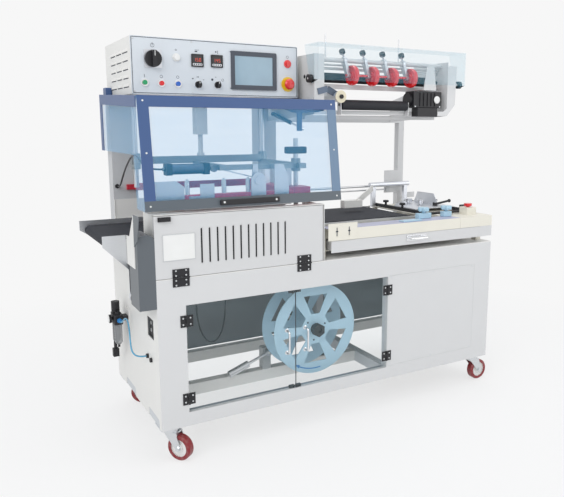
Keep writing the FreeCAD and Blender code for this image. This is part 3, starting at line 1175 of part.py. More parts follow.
def make_spool():
    """Film scrap spool, its stand and the dancer arm."""
    x, z = SPOOL_X, SPOOL_Z
    y0, y1 = SPOOL_Y
    r = SPOOL_SHAFT_R + RUN
    bore = rod((x, y0 - 60, z), (x, y1 + 60, z), r)
    front = spool_disc(y0)
    rear = spool_disc(y1 - DISC_T)
    core = pipe((x, y0 + DISC_T, z), (x, y1 - DISC_T, z), 38.0, 34.0)
    put("spool", front.cut(bore), rear.cut(bore), core)
    hub = ring_of(24.0, r, (x, y0 - 16, z), (0, 1, 0), 16.0)
    knob = hexagon((x, y0 - 34, z), 30.0, (0, 1, 0), 18.0)
    put("spool", fuse(hub, knob.cut(bore)))
    ty0, ty1 = SPOOL_TUBE_Y
    floor = BASE_BOTTOM + RAIL_H
    left = SHEET + TUBE
    right = WINDOW_X[1] + SHEET
    put("spool_stand", square_tube(left, right, ty0, ty1, BASE_BOTTOM, floor, "x"))
    shaft = rod((x, y0 - 28, z), (x, ty1 - 4, z), SPOOL_SHAFT_R)
    housing = rod((x, y1 + 6, z), (x, ty1 - 8, z), 30.0)
    leg = plate_y(((x - 26, z - 12), (x + 10, z - 28), (x + 30, z), (935, floor), (845, floor)),
                  ty0 + 8, ty1 - 12)
    foot = box(820, 950, ty0, ty1, floor, floor + 6)
    put("spool_stand", fuse(shaft, housing, leg, foot))
    dx, dz = DANCER
    block = soften(box(dx - 20, dx + 20, ty0, ty1 - 4, floor, dz + 18), 5.0, (0, 1, 0))
    pin = rod((dx, DANCER_Y[0] - 2, dz), (dx, ty0, dz), 6.0)
    put("spool_stand", fuse(block, pin))
    a, b = DANCER_Y
    mid = (a + b) / 2
    hub = ring_of(15.0, 6.0 + RUN, (dx, a, dz), (0, 1, 0), b - a)
    arm = rod((dx - 14, mid, dz), (dx - 196, mid, dz), 6.0)
    weight = rod((dx - 104, mid, dz), (dx - 200, mid, dz), 15.0)
    tail = rod((dx + 14, mid, dz), (dx + 60, mid, dz), 5.0)
    arm = fuse(hub, arm, weight, tail)
    put("dancer_arm", turn(arm, (dx, 0, dz), (0, 1, 0), -DANCER_DIP))


# ---------------------------------------------------------------- filter unit
FILTER_X = -44.0
INLET_R = 5.7
INLET_DEPTH = 14.0


def make_filter():
    """Air filter and regulator bracketed to the left panel."""
    x = FILTER_X
    put("filter_unit", box(-3, 0, 420, 496, 430, 500))
    put("filter_unit", box(x + 18, -3, 436, 480, 452, 470))
    head = soften(box(x - 18, x + 18, 424, 498, 440, 482), 6.0, (0, 0, 1))
    put("filter_unit", head)
    bowl = ((0, 352), (9, 352), (16, 362), (16, 440), (0, 440))
    for y in (443.0, 479.0):
        ring = outline([(x + r, y, z) for r, z in bowl]).revolve(V(x, y, 0), V(0, 0, 1), 360)
        put("filter_unit", fuse(ring, rod((x, y, 340), (x, y, 352), 5.0)))
    knob = fuse(rod((x, 479, 482), (x, 479, 488), 12.0), rod((x, 479, 488), (x, 479, 530), 17.0))
    put("filter_unit", knob)
    put("filter_unit", rod((x, 443, 482), (x, 443, 494), 10.0))
    gauge = fuse(rod((x - 18, 461, 461), (x - 24, 461, 461), 6.0),
                 rod((x - 24, 461, 461), (x - 34, 461, 461), 18.0))
    put("filter_unit", gauge)
    put("filter_unit", fuse(rod((x, 424, 461), (x, 406, 461), 8.0),
                            hexagon((x, 418, 461), 10.0, (0, -1, 0), 7.0)))
    valve = fuse(rod((x, 498, 461), (x, 520, 461), 8.0),
                 rod((x, 512, 461), (x, 512, 300), 7.0),
                 box(x - 12, x + 12, 500, 524, 277, 312))
    valve = valve.cut(rod((x, 512, 277), (x, 512, 277 + INLET_DEPTH), INLET_R))
    put("filter_unit", valve)
    put("filter_unit", ring_of(9.0, 4.0, (0, 148, 387), (-1, 0, 0), 8.0))
    put("filter_unit", ring_of(9.0, 2.0, (0, 100, 385), (-1, 0, 0), 8.0))


# ---------------------------------------------------------------------- cords
def cord(name, points, diameter):
    """Free cord of straight runs joined by tangent arcs."""
    pts = [V(*p) for p in points]
    runs = [(b - a).Length for a, b in zip(pts, pts[1:])]
    edges = []
    at = pts[0]
    radii = []
    for k in range(1, len(pts) - 1):
        corner = pts[k]
        a = (pts[k - 1] - corner).normalize()
        b = (pts[k + 1] - corner).normalize()
        half = a.getAngle(b) / 2.0
        back = 0.45 * min(runs[k - 1], runs[k])
        radius = back * math.tan(half)
        mid = (a + b).normalize() * (radius / math.sin(half) - radius)
        p, q = corner + a * back, corner + b * back
        edges.append(Part.LineSegment(at, p).toShape())
        edges.append(Part.Arc(p, corner + mid, q).toShape())
        radii.append(radius)
        at = q
    edges.append(Part.LineSegment(at, pts[-1]).toShape())
    wire = Part.Wire(edges)
    solid = swept(wire, diameter / 2)
    want = wire.Length * math.pi * diameter ** 2 / 4
    print(name, "length %.1f" % wire.Length, "radii %.1f..%.1f" % (min(radii), max(radii)),
          "volume ratio %.4f" % (solid.Volume / want))
    cords[name] = solid


AIR_TUBE_D = 6.0
HOSE_D = 7.0
CABLE_D = 7.0


def make_cords():
    """Air tube, head hose and the cable loop in the cabinet."""
    x = FILTER_X
    cord("air_tube", ((x, 406, 461), (x, 378, 461), (x - 1, 340, 484), (x - 3, 292, 506),
                      (x - 6, 240, 508), (x - 11, 200, 478), (x - 15, 178.6, 440),
                      (-59.2, 158.6, 405.4), (-38, 148, 387), (-8, 148, 387)), AIR_TUBE_D)
    cord("head_hose", ((16, 588, 1004), (16, 550, 1004), (16, 506, 1040), (14, 440, 1084),
                       (12, 366, 1122), (10, 298, 1148), (11, 228, 1150), (11.2, 174.5, 1122.5),
                       (43, 152, 1100), (83, 152, 1100)), HOSE_D)
    cord("window_cable", ((322, 500, 699), (322, 500, 640), (319, 500, 560), (318, 500, 470),
                          (322, 500, 390), (338, 500, 320), (370, 500, 268), (414, 500, 268),
                          (444, 500, 320), (458, 500, 390), (461, 500, 470), (460, 500, 560),
                          (458, 500, 640), (458, 500, 699)), CABLE_D)
    put("filter_unit", rod((-8, 148, 387), (0, 148, 387), 4.0))
    gland = fuse(rod((16, 600, 1004), (16, 588, 1004), 6.0),
                 hexagon((16, 600, 1004), 10.0, (0, -1, 0), 6.0))
    put("fixed_fittings", gland)
    elbow = fuse(rod((93, 152, 1100), (83, 152, 1100), 6.0),
                 hexagon((93, 152, 1100), 9.0, (-1, 0, 0), 6.0))
    put("jaw_carriage", elbow)
    for x in (322.0, 458.0):
        put("fixed_fittings", rod((x, 500, BASE_TOP - SHEET), (x, 500, 699), 8.0))


# --------------------------------------------------------------------- export
def export_all():
    """Shift every node to the bottom centre of the rigid parts and write it."""
    bounds = FreeCAD.BoundBox()
    for solids in nodes.values():
        for solid in solids:
            bounds.add(solid.BoundBox)
    shift = V(-(bounds.XMin + bounds.XMax) / 2, -(bounds.YMin + bounds.YMax) / 2, -bounds.ZMin)
    print("size %.3f %.3f %.3f" % (bounds.XLength, bounds.YLength, bounds.ZLength))
    print("shift %.4f %.4f %.4f" % (shift.x, shift.y, shift.z))
    os.makedirs("parts", exist_ok=True)
    for name, solids in list(nodes.items()) + [(k, [v]) for k, v in cords.items()]:
        shape = solids[0] if len(solids) == 1 else Part.makeCompound(solids)
        shape = shape.copy()
        shape.translate(shift)
        for solid in shape.Solids:
            if not solid.isValid():
                print("INVALID", name)
        shape.exportStep("parts/%s.step" % name)
    print(len(nodes) + len(cords), "nodes")


def main():
    """Build every sub-part and write the files."""
    make_base()
    for tag, (cx, cy) in caster_centres().items():
        make_caster(tag, cx, cy)
    make_front_panel()
    make_cabinet_panels()
    make_doors()
    make_upper_housing()
    make_access_panel()
    make_columns()
    make_control_box()
    make_panel_fittings()
    make_controls()
    make_hood()
    make_strut()
    make_seal_head()
    make_fixed_head()
    make_outfeed()
    make_drive()
    make_infeed()
    make_former()
    make_drawer()
    make_unwinder_frame()
    make_unwinder_movers()
    make_perforator_arms()
    make_unwinder_motor()
    make_spool()
    make_filter()
    make_cords()
    export_all()


main()
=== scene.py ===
"""Looks of an automatic L-bar film sealer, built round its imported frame.

Places are written in machine millimetres, counted from the base's front left corner at
the floor, and at() turns them into metres of the frame.  Sub-assemblies are classes that
hold their own sizes; finishes are frozen dataclasses that build procedural materials.
"""

import json
import logging
import math
from dataclasses import dataclass, field
from enum import Enum
from typing import Callable, Sequence

import bmesh
import bpy
import numpy as np
from mathutils import Euler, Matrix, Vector

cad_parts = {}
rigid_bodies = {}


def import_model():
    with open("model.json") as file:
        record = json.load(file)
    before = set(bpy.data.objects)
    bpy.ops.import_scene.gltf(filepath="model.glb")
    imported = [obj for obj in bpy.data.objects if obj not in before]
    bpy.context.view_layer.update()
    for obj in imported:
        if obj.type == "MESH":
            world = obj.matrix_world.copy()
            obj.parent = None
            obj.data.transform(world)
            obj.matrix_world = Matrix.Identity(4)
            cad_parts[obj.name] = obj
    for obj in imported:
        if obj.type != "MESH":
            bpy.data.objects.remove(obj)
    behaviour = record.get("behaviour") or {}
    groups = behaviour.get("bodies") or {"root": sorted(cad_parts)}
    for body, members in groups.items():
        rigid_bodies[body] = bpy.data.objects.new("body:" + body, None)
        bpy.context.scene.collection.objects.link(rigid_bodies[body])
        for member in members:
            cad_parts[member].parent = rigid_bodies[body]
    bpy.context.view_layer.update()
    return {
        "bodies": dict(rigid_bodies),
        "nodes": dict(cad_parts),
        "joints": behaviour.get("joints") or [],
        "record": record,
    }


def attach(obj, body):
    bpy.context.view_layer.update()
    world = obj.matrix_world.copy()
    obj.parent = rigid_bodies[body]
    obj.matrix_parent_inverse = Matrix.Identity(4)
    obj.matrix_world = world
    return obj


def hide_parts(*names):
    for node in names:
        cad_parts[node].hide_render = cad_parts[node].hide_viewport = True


LOG = logging.getLogger("sealer")
Array = np.ndarray
Number = float | int
Mask = Callable[[Array], Array]

MM = 1000.0                                # millimetres in a metre
DATUM = np.array((-0.765, -0.314, 0.0))    # the base's front left corner in the frame
SMOOTH = 35.0                              # edges flatter than this many degrees look smooth


def placed(points: Array) -> Array:
    """Machine millimetres, in an array that ends in (x, y, z), as metres of the frame."""
    return points / MM + DATUM


def at(x: Number, y: Number, z: Number) -> Array:
    """Place given in machine millimetres.

    Args:
        x, y, z: millimetres right, back and up from the base's front left corner.

    Returns:
        The place in metres of the frame.
    """
    return placed(np.array((x, y, z), float))


# --------------------------------------------------------------- shader maths
class Value:
    """A socket that takes part in Python expressions."""

    def __init__(self, graph: "Graph", socket: bpy.types.NodeSocket) -> None:
        """Remember the graph and the socket."""
        self.graph = graph
        self.socket = socket

    def _math(self, kind: str, *terms: "Value | Number") -> "Value":
        """Math node of the given operation on the terms."""
        return self.graph.add("ShaderNodeMath", {"operation": kind}, dict(enumerate(terms)))

    def __add__(self, other: "Value | Number") -> "Value":
        """Sum."""
        return self._math("ADD", self, other)

    __radd__ = __add__

    def __sub__(self, other: "Value | Number") -> "Value":
        """Difference."""
        return self._math("SUBTRACT", self, other)

    def __rsub__(self, other: "Value | Number") -> "Value":
        """Reflected difference."""
        return self._math("SUBTRACT", other, self)

    def __mul__(self, other: "Value | Number") -> "Value":
        """Product."""
        return self._math("MULTIPLY", self, other)

    __rmul__ = __mul__

    def __truediv__(self, other: "Value | Number") -> "Value":
        """Quotient."""
        return self._math("DIVIDE", self, other)

    def power(self, exponent: Number) -> "Value":
        """This raised to an exponent."""
        return self._math("POWER", self, exponent)

    def sine(self) -> "Value":
        """Sine of this."""
        return self._math("SINE", self)

    def clamp(self, low: Number = 0.0, high: Number = 1.0) -> "Value":
        """This kept between two numbers."""
        return self.graph.add("ShaderNodeClamp", None, {"Value": self, "Min": low, "Max": high})


class Graph:
    """Node tree of one material, ending in a Principled shader."""

    def __init__(self, name: str) -> None:
        """Make an empty material of that name."""
        self.material = bpy.data.materials.new(name)
        self.material.use_nodes = True
        self.tree = self.material.node_tree
        self.tree.nodes.clear()
        self.place = self.add("ShaderNodeTexCoord", None, {}, "Object")

    def add(self, kind: str, settings: dict | None = None, inputs: dict | None = None,
            out: str | int = 0) -> Value:
        """Add one node.

        Args:
            kind: the node's type.
            settings: its own properties, set first; "stops" fills a colour ramp.
            inputs: socket name or number to a value, colour or Value.
            out: name or number of the output that is returned.

        Returns:
            The chosen output.
        """
        node = self.tree.nodes.new(kind)
        for key, value in (settings or {}).items():
            if key == "stops":
                self._stops(node.color_ramp, value)
            else:
                setattr(node, key, value)
        for key, value in (inputs or {}).items():
            self.feed(node.inputs[key], value)
        return Value(self, node.outputs[out])

    def feed(self, socket: bpy.types.NodeSocket, value: "Value | Number | Sequence") -> None:
        """Link a Value to a socket, or set its number or colour."""
        if isinstance(value, Value):
            self.tree.links.new(value.socket, socket)
        elif isinstance(value, (tuple, list)) and socket.type == "RGBA":
            socket.default_value = (*value[:3], 1.0)
        else:
            socket.default_value = value

    @staticmethod
    def _stops(ramp: bpy.types.ColorRamp, stops: Sequence) -> None:
        """Fill a ramp with (position, grey or colour) stops."""
        while len(ramp.elements) > 1:
            ramp.elements.remove(ramp.elements[-1])
        for k, (pos, tone) in enumerate(stops):
            colour = (tone,) * 3 if isinstance(tone, (int, float)) else tone
            element = ramp.elements[0] if k == 0 else ramp.elements.new(pos)
            element.position = pos
            element.color = (*colour, 1.0)

    def noise(self, scale: Number, detail: Number = 2.0, stretch: Sequence | None = None) -> Value:
        """Fractal noise in object space.

        Args:
            scale: features per metre.
            detail: octaves.
            stretch: scale of each axis, for drawn or brushed marks.
        """
        vector = self.place
        if stretch:
            vector = self.add("ShaderNodeMapping", None, {"Vector": vector, "Scale": stretch})
        return self.add("ShaderNodeTexNoise", None,
                        {"Vector": vector, "Scale": scale, "Detail": detail})

    def ramp(self, value: Value, *stops: tuple) -> Value:
        """Value read through a colour ramp."""
        return self.add("ShaderNodeValToRGB", {"stops": stops}, {"Fac": value})

    def mix(self, amount: "Value | Number", first: "Value | Sequence",
            second: "Value | Sequence") -> Value:
        """Blend two colours."""
        return self.add("ShaderNodeMix", {"data_type": "RGBA", "blend_type": "MIX"},
                        {0: amount, 6: first, 7: second}, 2)

    def axes(self) -> tuple[Value, Value, Value]:
        """Object-space X, Y and Z."""
        node = self.add("ShaderNodeSeparateXYZ", None, {"Vector": self.place})
        outs = node.socket.node.outputs
        return tuple(Value(self, outs[k]) for k in range(3))

    def bump(self, height: Value, distance: Number) -> Value:
        """Normal from a height, at full strength."""
        return self.add("ShaderNodeBump", None,
                        {"Height": height, "Distance": distance, "Strength": 1.0})

    def finish(self, sockets: dict) -> bpy.types.Material:
        """Close the tree with a Principled shader.

        Args:
            sockets: Principled socket name to number, colour or Value.

        Returns:
            The material.
        """
        shader = self.add("ShaderNodeBsdfPrincipled", None, sockets)
        self.join(shader)
        return self.material

    def join(self, shader: Value) -> None:
        """Join the shader to the material's output."""
        node = self.tree.nodes.new("ShaderNodeOutputMaterial")
        self.tree.links.new(shader.socket, node.inputs["Surface"])


def seen_rays(tree: bpy.types.NodeTree) -> bpy.types.NodeSocket:
    """Socket that is one for camera, mirror and clear rays and nought for the rest."""
    rays = tree.nodes.new("ShaderNodeLightPath").outputs
    seen = rays["Is Camera Ray"]
    for name in ("Is Glossy Ray", "Is Transmission Ray"):
        either = tree.nodes.new("ShaderNodeMath")
        either.operation = "MAXIMUM"
        tree.links.new(seen, either.inputs[0])
        tree.links.new(rays[name], either.inputs[1])
        seen = either.outputs[0]
    return seen


# ------------------------------------------------------------------- finishes
def shade(colour: Sequence[Number], factor: Number, lift: Number = 0.0) -> tuple:
    """Colour times a factor plus a lift, with no channel over one."""
    return tuple(min(1.0, c * factor + lift) for c in colour)


@dataclass(frozen=True)
class PowderCoat:
    """Sprayed and baked paint with a fine orange-peel skin."""

    name: str
    colour: tuple
    rough: float = 0.42
    peel: float = 0.00008
    grime: float = 0.05

    def make(self) -> bpy.types.Material:
        """Paint whose tone drifts slightly and gathers a little dust."""
        g = Graph(self.name)
        drift = g.noise(3.0, 3.0)
        dust = g.ramp(g.noise(11.0, 5.0), (0.35, 0.0), (0.75, 1.0))
        tone = g.mix(dust * self.grime, self.colour, shade(self.colour, 0.72))
        tone = g.mix(drift * 0.06, tone, shade(self.colour, 1.06))
        skin = g.noise(900.0, 2.0)
        return g.finish({"Base Color": tone, "Roughness": drift * 0.08 + (self.rough - 0.04),
                         "Normal": g.bump(skin, self.peel)})


@dataclass(frozen=True)
class DrawnMetal:
    """Ground, drawn or plated metal."""

    name: str
    colour: tuple
    rough: float = 0.3
    grain: tuple = (40.0, 900.0, 900.0)
    wear: float = 0.3

    def make(self) -> bpy.types.Material:
        """Metal with fine lines along its grain and smudged gloss."""
        g = Graph(self.name)
        lines = g.noise(1.0, 3.0, self.grain)
        smudge = g.noise(14.0, 4.0)
        tone = g.mix(lines * self.wear, self.colour, shade(self.colour, 0.7))
        rough = lines * 0.12 + smudge * 0.12 + (self.rough - 0.12)
        return g.finish({"Base Color": tone, "Metallic": 1.0, "Roughness": rough.clamp(0.05, 0.9),
                         "Normal": g.bump(lines, 0.00003)})


@dataclass(frozen=True)
class Moulding:
    """Moulded plastic or enamel, glossy or matt."""

    name: str
    colour: tuple
    rough: float = 0.35
    texture: float = 0.00004
    coat: float = 0.0

    def make(self) -> bpy.types.Material:
        """Plastic with spark texture and faint handling marks."""
        g = Graph(self.name)
        spark = g.noise(1400.0, 2.0)
        marks = g.ramp(g.noise(30.0, 5.0), (0.4, 0.0), (0.8, 1.0))
        tone = g.mix(marks * 0.12, self.colour, shade(self.colour, 1.3, 0.01))
        return g.finish({"Base Color": tone, "Roughness": marks * 0.1 + self.rough,
                         "Coat Weight": self.coat, "Normal": g.bump(spark, self.texture)})


@dataclass(frozen=True)
class ReleaseCoat:
    """Red non-stick coat over the sealing jaws, rubbed at its edges."""

    name: str
    colour: tuple

    def make(self) -> bpy.types.Material:
        """Red coat with pinholes, heat bloom and rubbed spots."""
        g = Graph(self.name)
        bloom = g.noise(9.0, 4.0)
        rubbed = g.ramp(g.noise(55.0, 6.0), (0.66, 0.0), (0.74, 1.0))
        tone = g.mix(bloom * 0.5, self.colour, shade(self.colour, 0.6))
        tone = g.mix(rubbed * 0.35, tone, (0.45, 0.2, 0.17))
        return g.finish({"Base Color": tone, "Roughness": bloom * 0.2 + 0.3,
                         "Normal": g.bump(g.noise(700.0), 0.00005)})


@dataclass(frozen=True)
class ClearSheet:
    """Clear or tinted acrylic sheet."""

    name: str
    colour: tuple
    alpha: float = 0.25
    edge: float = 0.5

    def make(self) -> bpy.types.Material:
        """Sheet that grows denser where it is seen edge on, with wipe marks."""
        g = Graph(self.name)
        facing = g.add("ShaderNodeLayerWeight", None, {"Blend": 0.35}, "Facing")
        wipe = g.noise(1.0, 4.0, (5.0, 5.0, 22.0))
        alpha = (facing.power(2.0) * self.edge + wipe * 0.05 + (self.alpha - 0.03)).clamp()
        return g.finish({"Base Color": self.colour, "Roughness": wipe * 0.05 + 0.03,
                         "Alpha": alpha, "IOR": 1.49})


@dataclass(frozen=True)
class Belting:
    """Dark conveyor belting with a woven face and a few scuffs along the run."""

    name: str
    colour: tuple
    scuff: tuple = (0.2, 0.22, 0.26)

    def make(self) -> bpy.types.Material:
        """Weave from crossed sine waves, scuffs drawn out along X."""
        g = Graph(self.name)
        x, y, _ = g.axes()
        weave = (x * 4200.0).sine() * (y * 4200.0).sine()
        scuffs = g.ramp(g.noise(1.0, 5.0, (6.0, 90.0, 6.0)), (0.55, 0.0), (0.8, 1.0))
        tone = g.mix(scuffs * 0.35, self.colour, self.scuff)
        return g.finish({"Base Color": tone, "Roughness": scuffs * 0.12 + 0.72,
                         "Normal": g.bump(weave, 0.00012)})


@dataclass(frozen=True)
class Tread:
    """Polyurethane tyre with scuffed running face."""

    name: str
    colour: tuple

    def make(self) -> bpy.types.Material:
        """Tread tone dulled by floor dust in blotches."""
        g = Graph(self.name)
        dust = g.ramp(g.noise(60.0, 6.0), (0.45, 0.0), (0.75, 1.0))
        tone = g.mix(dust * 0.4, self.colour, (0.33, 0.25, 0.23))
        return g.finish({"Base Color": tone, "Roughness": dust * 0.3 + 0.28,
                         "Normal": g.bump(g.noise(420.0, 3.0), 0.0001)})


@dataclass(frozen=True)
class Screen:
    """Dark display glass with a faint lit field."""

    name: str
    colour: tuple
    glow: tuple
    strength: float = 0.0

    def make(self) -> bpy.types.Material:
        """Coated glass with an even glow that falls off slowly."""
        g = Graph(self.name)
        cloud = g.noise(12.0, 2.0)
        tone = g.mix(cloud * 0.5, self.colour, shade(self.colour, 1.5))
        return g.finish({"Base Color": tone, "Roughness": cloud * 0.06 + 0.08, "Coat Weight": 0.6,
                         "Emission Color": self.glow, "Emission Strength": self.strength})


class Finish(Enum):
    """Every finish on the machine."""

    CREAM = PowderCoat("cream_coat", (0.80, 0.79, 0.76))
    FRONT = PowderCoat("front_coat", (0.66, 0.66, 0.66))
    PANEL = PowderCoat("panel_coat", (0.64, 0.64, 0.64), 0.38)
    COLUMN = PowderCoat("column_coat", (0.55, 0.56, 0.57))
    # painted shade: dark grey that stands in for the shade inside the cabinet
    DARK_INSIDE = PowderCoat("inside_coat", (0.22, 0.235, 0.25), 0.6)
    PALE_INSIDE = PowderCoat("pale_inside_coat", (0.62, 0.64, 0.66), 0.6)
    TUBE_GREY = PowderCoat("tube_coat", (0.42, 0.43, 0.43))
    BLACK_COAT = PowderCoat("black_coat", (0.014, 0.014, 0.018), 0.5)
    HOOD_TRIM = PowderCoat("hood_trim_coat", (0.05, 0.10, 0.24), 0.4)
    HOOD_SLATE = PowderCoat("hood_slate_coat", (0.15, 0.23, 0.34), 0.4)
    HOOD_SILL = PowderCoat("hood_sill_coat", (0.10, 0.12, 0.14), 0.4)
    COVER_GREY = PowderCoat("cover_grey_coat", (0.11, 0.125, 0.14), 0.4)
    RAIL_SLATE = PowderCoat("rail_slate_coat", (0.24, 0.27, 0.30), 0.4)
    CREAM_STRIP = PowderCoat("strip_coat", (0.78, 0.75, 0.66))
    FACE_BLUE = PowderCoat("face_coat", (0.66, 0.70, 0.74), 0.36)
    # painted shade: lavender grey that stands in for the shaded alloy strip of the infeed table
    SHADED_STRIP = PowderCoat("strip_top_coat", (0.46, 0.47, 0.60))
    BLACK = Moulding("black_moulding", (0.010, 0.010, 0.013), 0.5)
    RUBBER = Moulding("ground_rubber", (0.008, 0.009, 0.014), 0.62, 0.0001)
    RED = Moulding("red_moulding", (0.72, 0.015, 0.02), 0.22, coat=0.4)
    GREEN = Moulding("green_moulding", (0.01, 0.33, 0.12), 0.2, coat=0.4)
    BLUE = Moulding("blue_moulding", (0.02, 0.12, 0.5), 0.2, coat=0.4)
    YELLOW = Moulding("yellow_moulding", (0.85, 0.58, 0.02), 0.3, coat=0.2)
    WHITE = Moulding("white_moulding", (0.8, 0.8, 0.78), 0.3)
    # dark print, seams and keys; also the painted shadows under the louvres
    MARK = Moulding("printed_mark", (0.03, 0.04, 0.06), 0.5)
    PALE_BLUE = Moulding("pale_blue_moulding", (0.42, 0.62, 0.74), 0.35)
    CREAM_MOULD = Moulding("cream_moulding", (0.72, 0.66, 0.5), 0.4)
    HOSE = Moulding("hose_skin", (0.02, 0.02, 0.024), 0.3)
    AIR_BLUE = Moulding("air_tube_skin", (0.10, 0.36, 0.55), 0.25)
    FITTING_BLUE = Moulding("blue_fitting", (0.03, 0.22, 0.55), 0.3)
    BEZEL = Moulding("screen_bezel", (0.05, 0.06, 0.08), 0.3)
    STEEL = DrawnMetal("ground_steel", (0.62, 0.63, 0.65), 0.32)
    ALLOY = DrawnMetal("drawn_alloy", (0.72, 0.74, 0.77), 0.34, (60.0, 700.0, 700.0))
    # painted shade: alloy darkened to the shaded tone it has behind the hood
    DULL_ALLOY = DrawnMetal("dull_alloy", (0.34, 0.38, 0.40), 0.5, (60.0, 700.0, 700.0))
    GUN_METAL = DrawnMetal("gun_metal", (0.12, 0.15, 0.20), 0.42, (60.0, 700.0, 700.0))
    PLATE = DrawnMetal("rolled_plate", (0.66, 0.68, 0.72), 0.4, (300.0, 300.0, 40.0), 0.2)
    CHROME = DrawnMetal("hard_chrome", (0.80, 0.81, 0.83), 0.16, (300.0, 300.0, 300.0), 0.12)
    ZINC = DrawnMetal("bright_zinc", (0.70, 0.72, 0.74), 0.3, (200.0, 200.0, 200.0), 0.4)
    JAW_RED = ReleaseCoat("jaw_red_coat", (0.62, 0.025, 0.05))
    HOOD = ClearSheet("hood_sheet", (0.06, 0.44, 0.80), 0.165, 0.2)
    DOOR = ClearSheet("door_sheet", (0.45, 0.60, 0.64), 0.05, 0.25)
    COVER = ClearSheet("cover_sheet", (0.22, 0.56, 0.72), 0.075, 0.2)
    SMOKE = ClearSheet("bowl_moulding", (0.30, 0.31, 0.32), 0.55, 0.4)
    BELT = Belting("belt_face", (0.006, 0.009, 0.018), (0.03, 0.035, 0.05))
    TREAD = Tread("wheel_tread", (0.24, 0.012, 0.018))
    LCD = Screen("display_glass", (0.20, 0.30, 0.37), (0.3, 0.42, 0.5), 0.12)
    DIGITS = Screen("digit_window", (0.02, 0.02, 0.022), (1.0, 0.1, 0.02), 0.0)
    LIT = Screen("lit_segment", (0.4, 0.03, 0.02), (1.0, 0.12, 0.05), 0.5)


class Wardrobe:
    """Materials made once and handed out by finish."""

    def __init__(self) -> None:
        """Start empty."""
        self._made: dict[Finish, bpy.types.Material] = {}

    def get(self, finish: Finish) -> bpy.types.Material:
        """The material of a finish."""
        if finish not in self._made:
            self._made[finish] = finish.value.make()
        return self._made[finish]


WARDROBE = Wardrobe()


# ----------------------------------------------------------------- dressing
def within(low: Sequence[Number], high: Sequence[Number]) -> Mask:
    """Mask of the faces whose centres lie in a block of machine millimetres."""
    a, b = at(*low), at(*high)
    return lambda c: np.all((c >= a) & (c <= b), axis=1)


def about(point: Sequence[Number], axis: int, low: Number, high: Number) -> Mask:
    """Mask of the faces between two distances, in millimetres, from an axis line."""
    p = at(*point)
    keep = [k for k in range(3) if k != axis]

    def mask(c: Array) -> Array:
        """Distance from the line, square root of the sum of two squared offsets."""
        d = np.hypot(*(c[:, k] - p[k] for k in keep)) * MM
        return (d >= low) & (d <= high)
    return mask


def both(*masks: Mask) -> Mask:
    """Faces inside every mask."""
    return lambda c: np.all([m(c) for m in masks], axis=0)


def dress(obj: bpy.types.Object, base: Finish, *areas: tuple[Finish, Mask]) -> None:
    """Give a piece its finish, with others on some of its faces.

    Args:
        obj: the piece or frame node.
        base: finish of all faces that no area claims.
        areas: (finish, mask) pairs; a later one wins.
    """
    mesh = obj.data
    mesh.materials.clear()
    mesh.materials.append(WARDROBE.get(base))
    slots = np.zeros(len(mesh.polygons), np.int32)
    centres = np.empty(len(mesh.polygons) * 3, np.float32)
    mesh.polygons.foreach_get("center", centres)
    centres = centres.reshape(-1, 3)
    for k, (finish, mask) in enumerate(areas, 1):
        mesh.materials.append(WARDROBE.get(finish))
        slots[mask(centres)] = k
    mesh.polygons.foreach_set("material_index", slots)


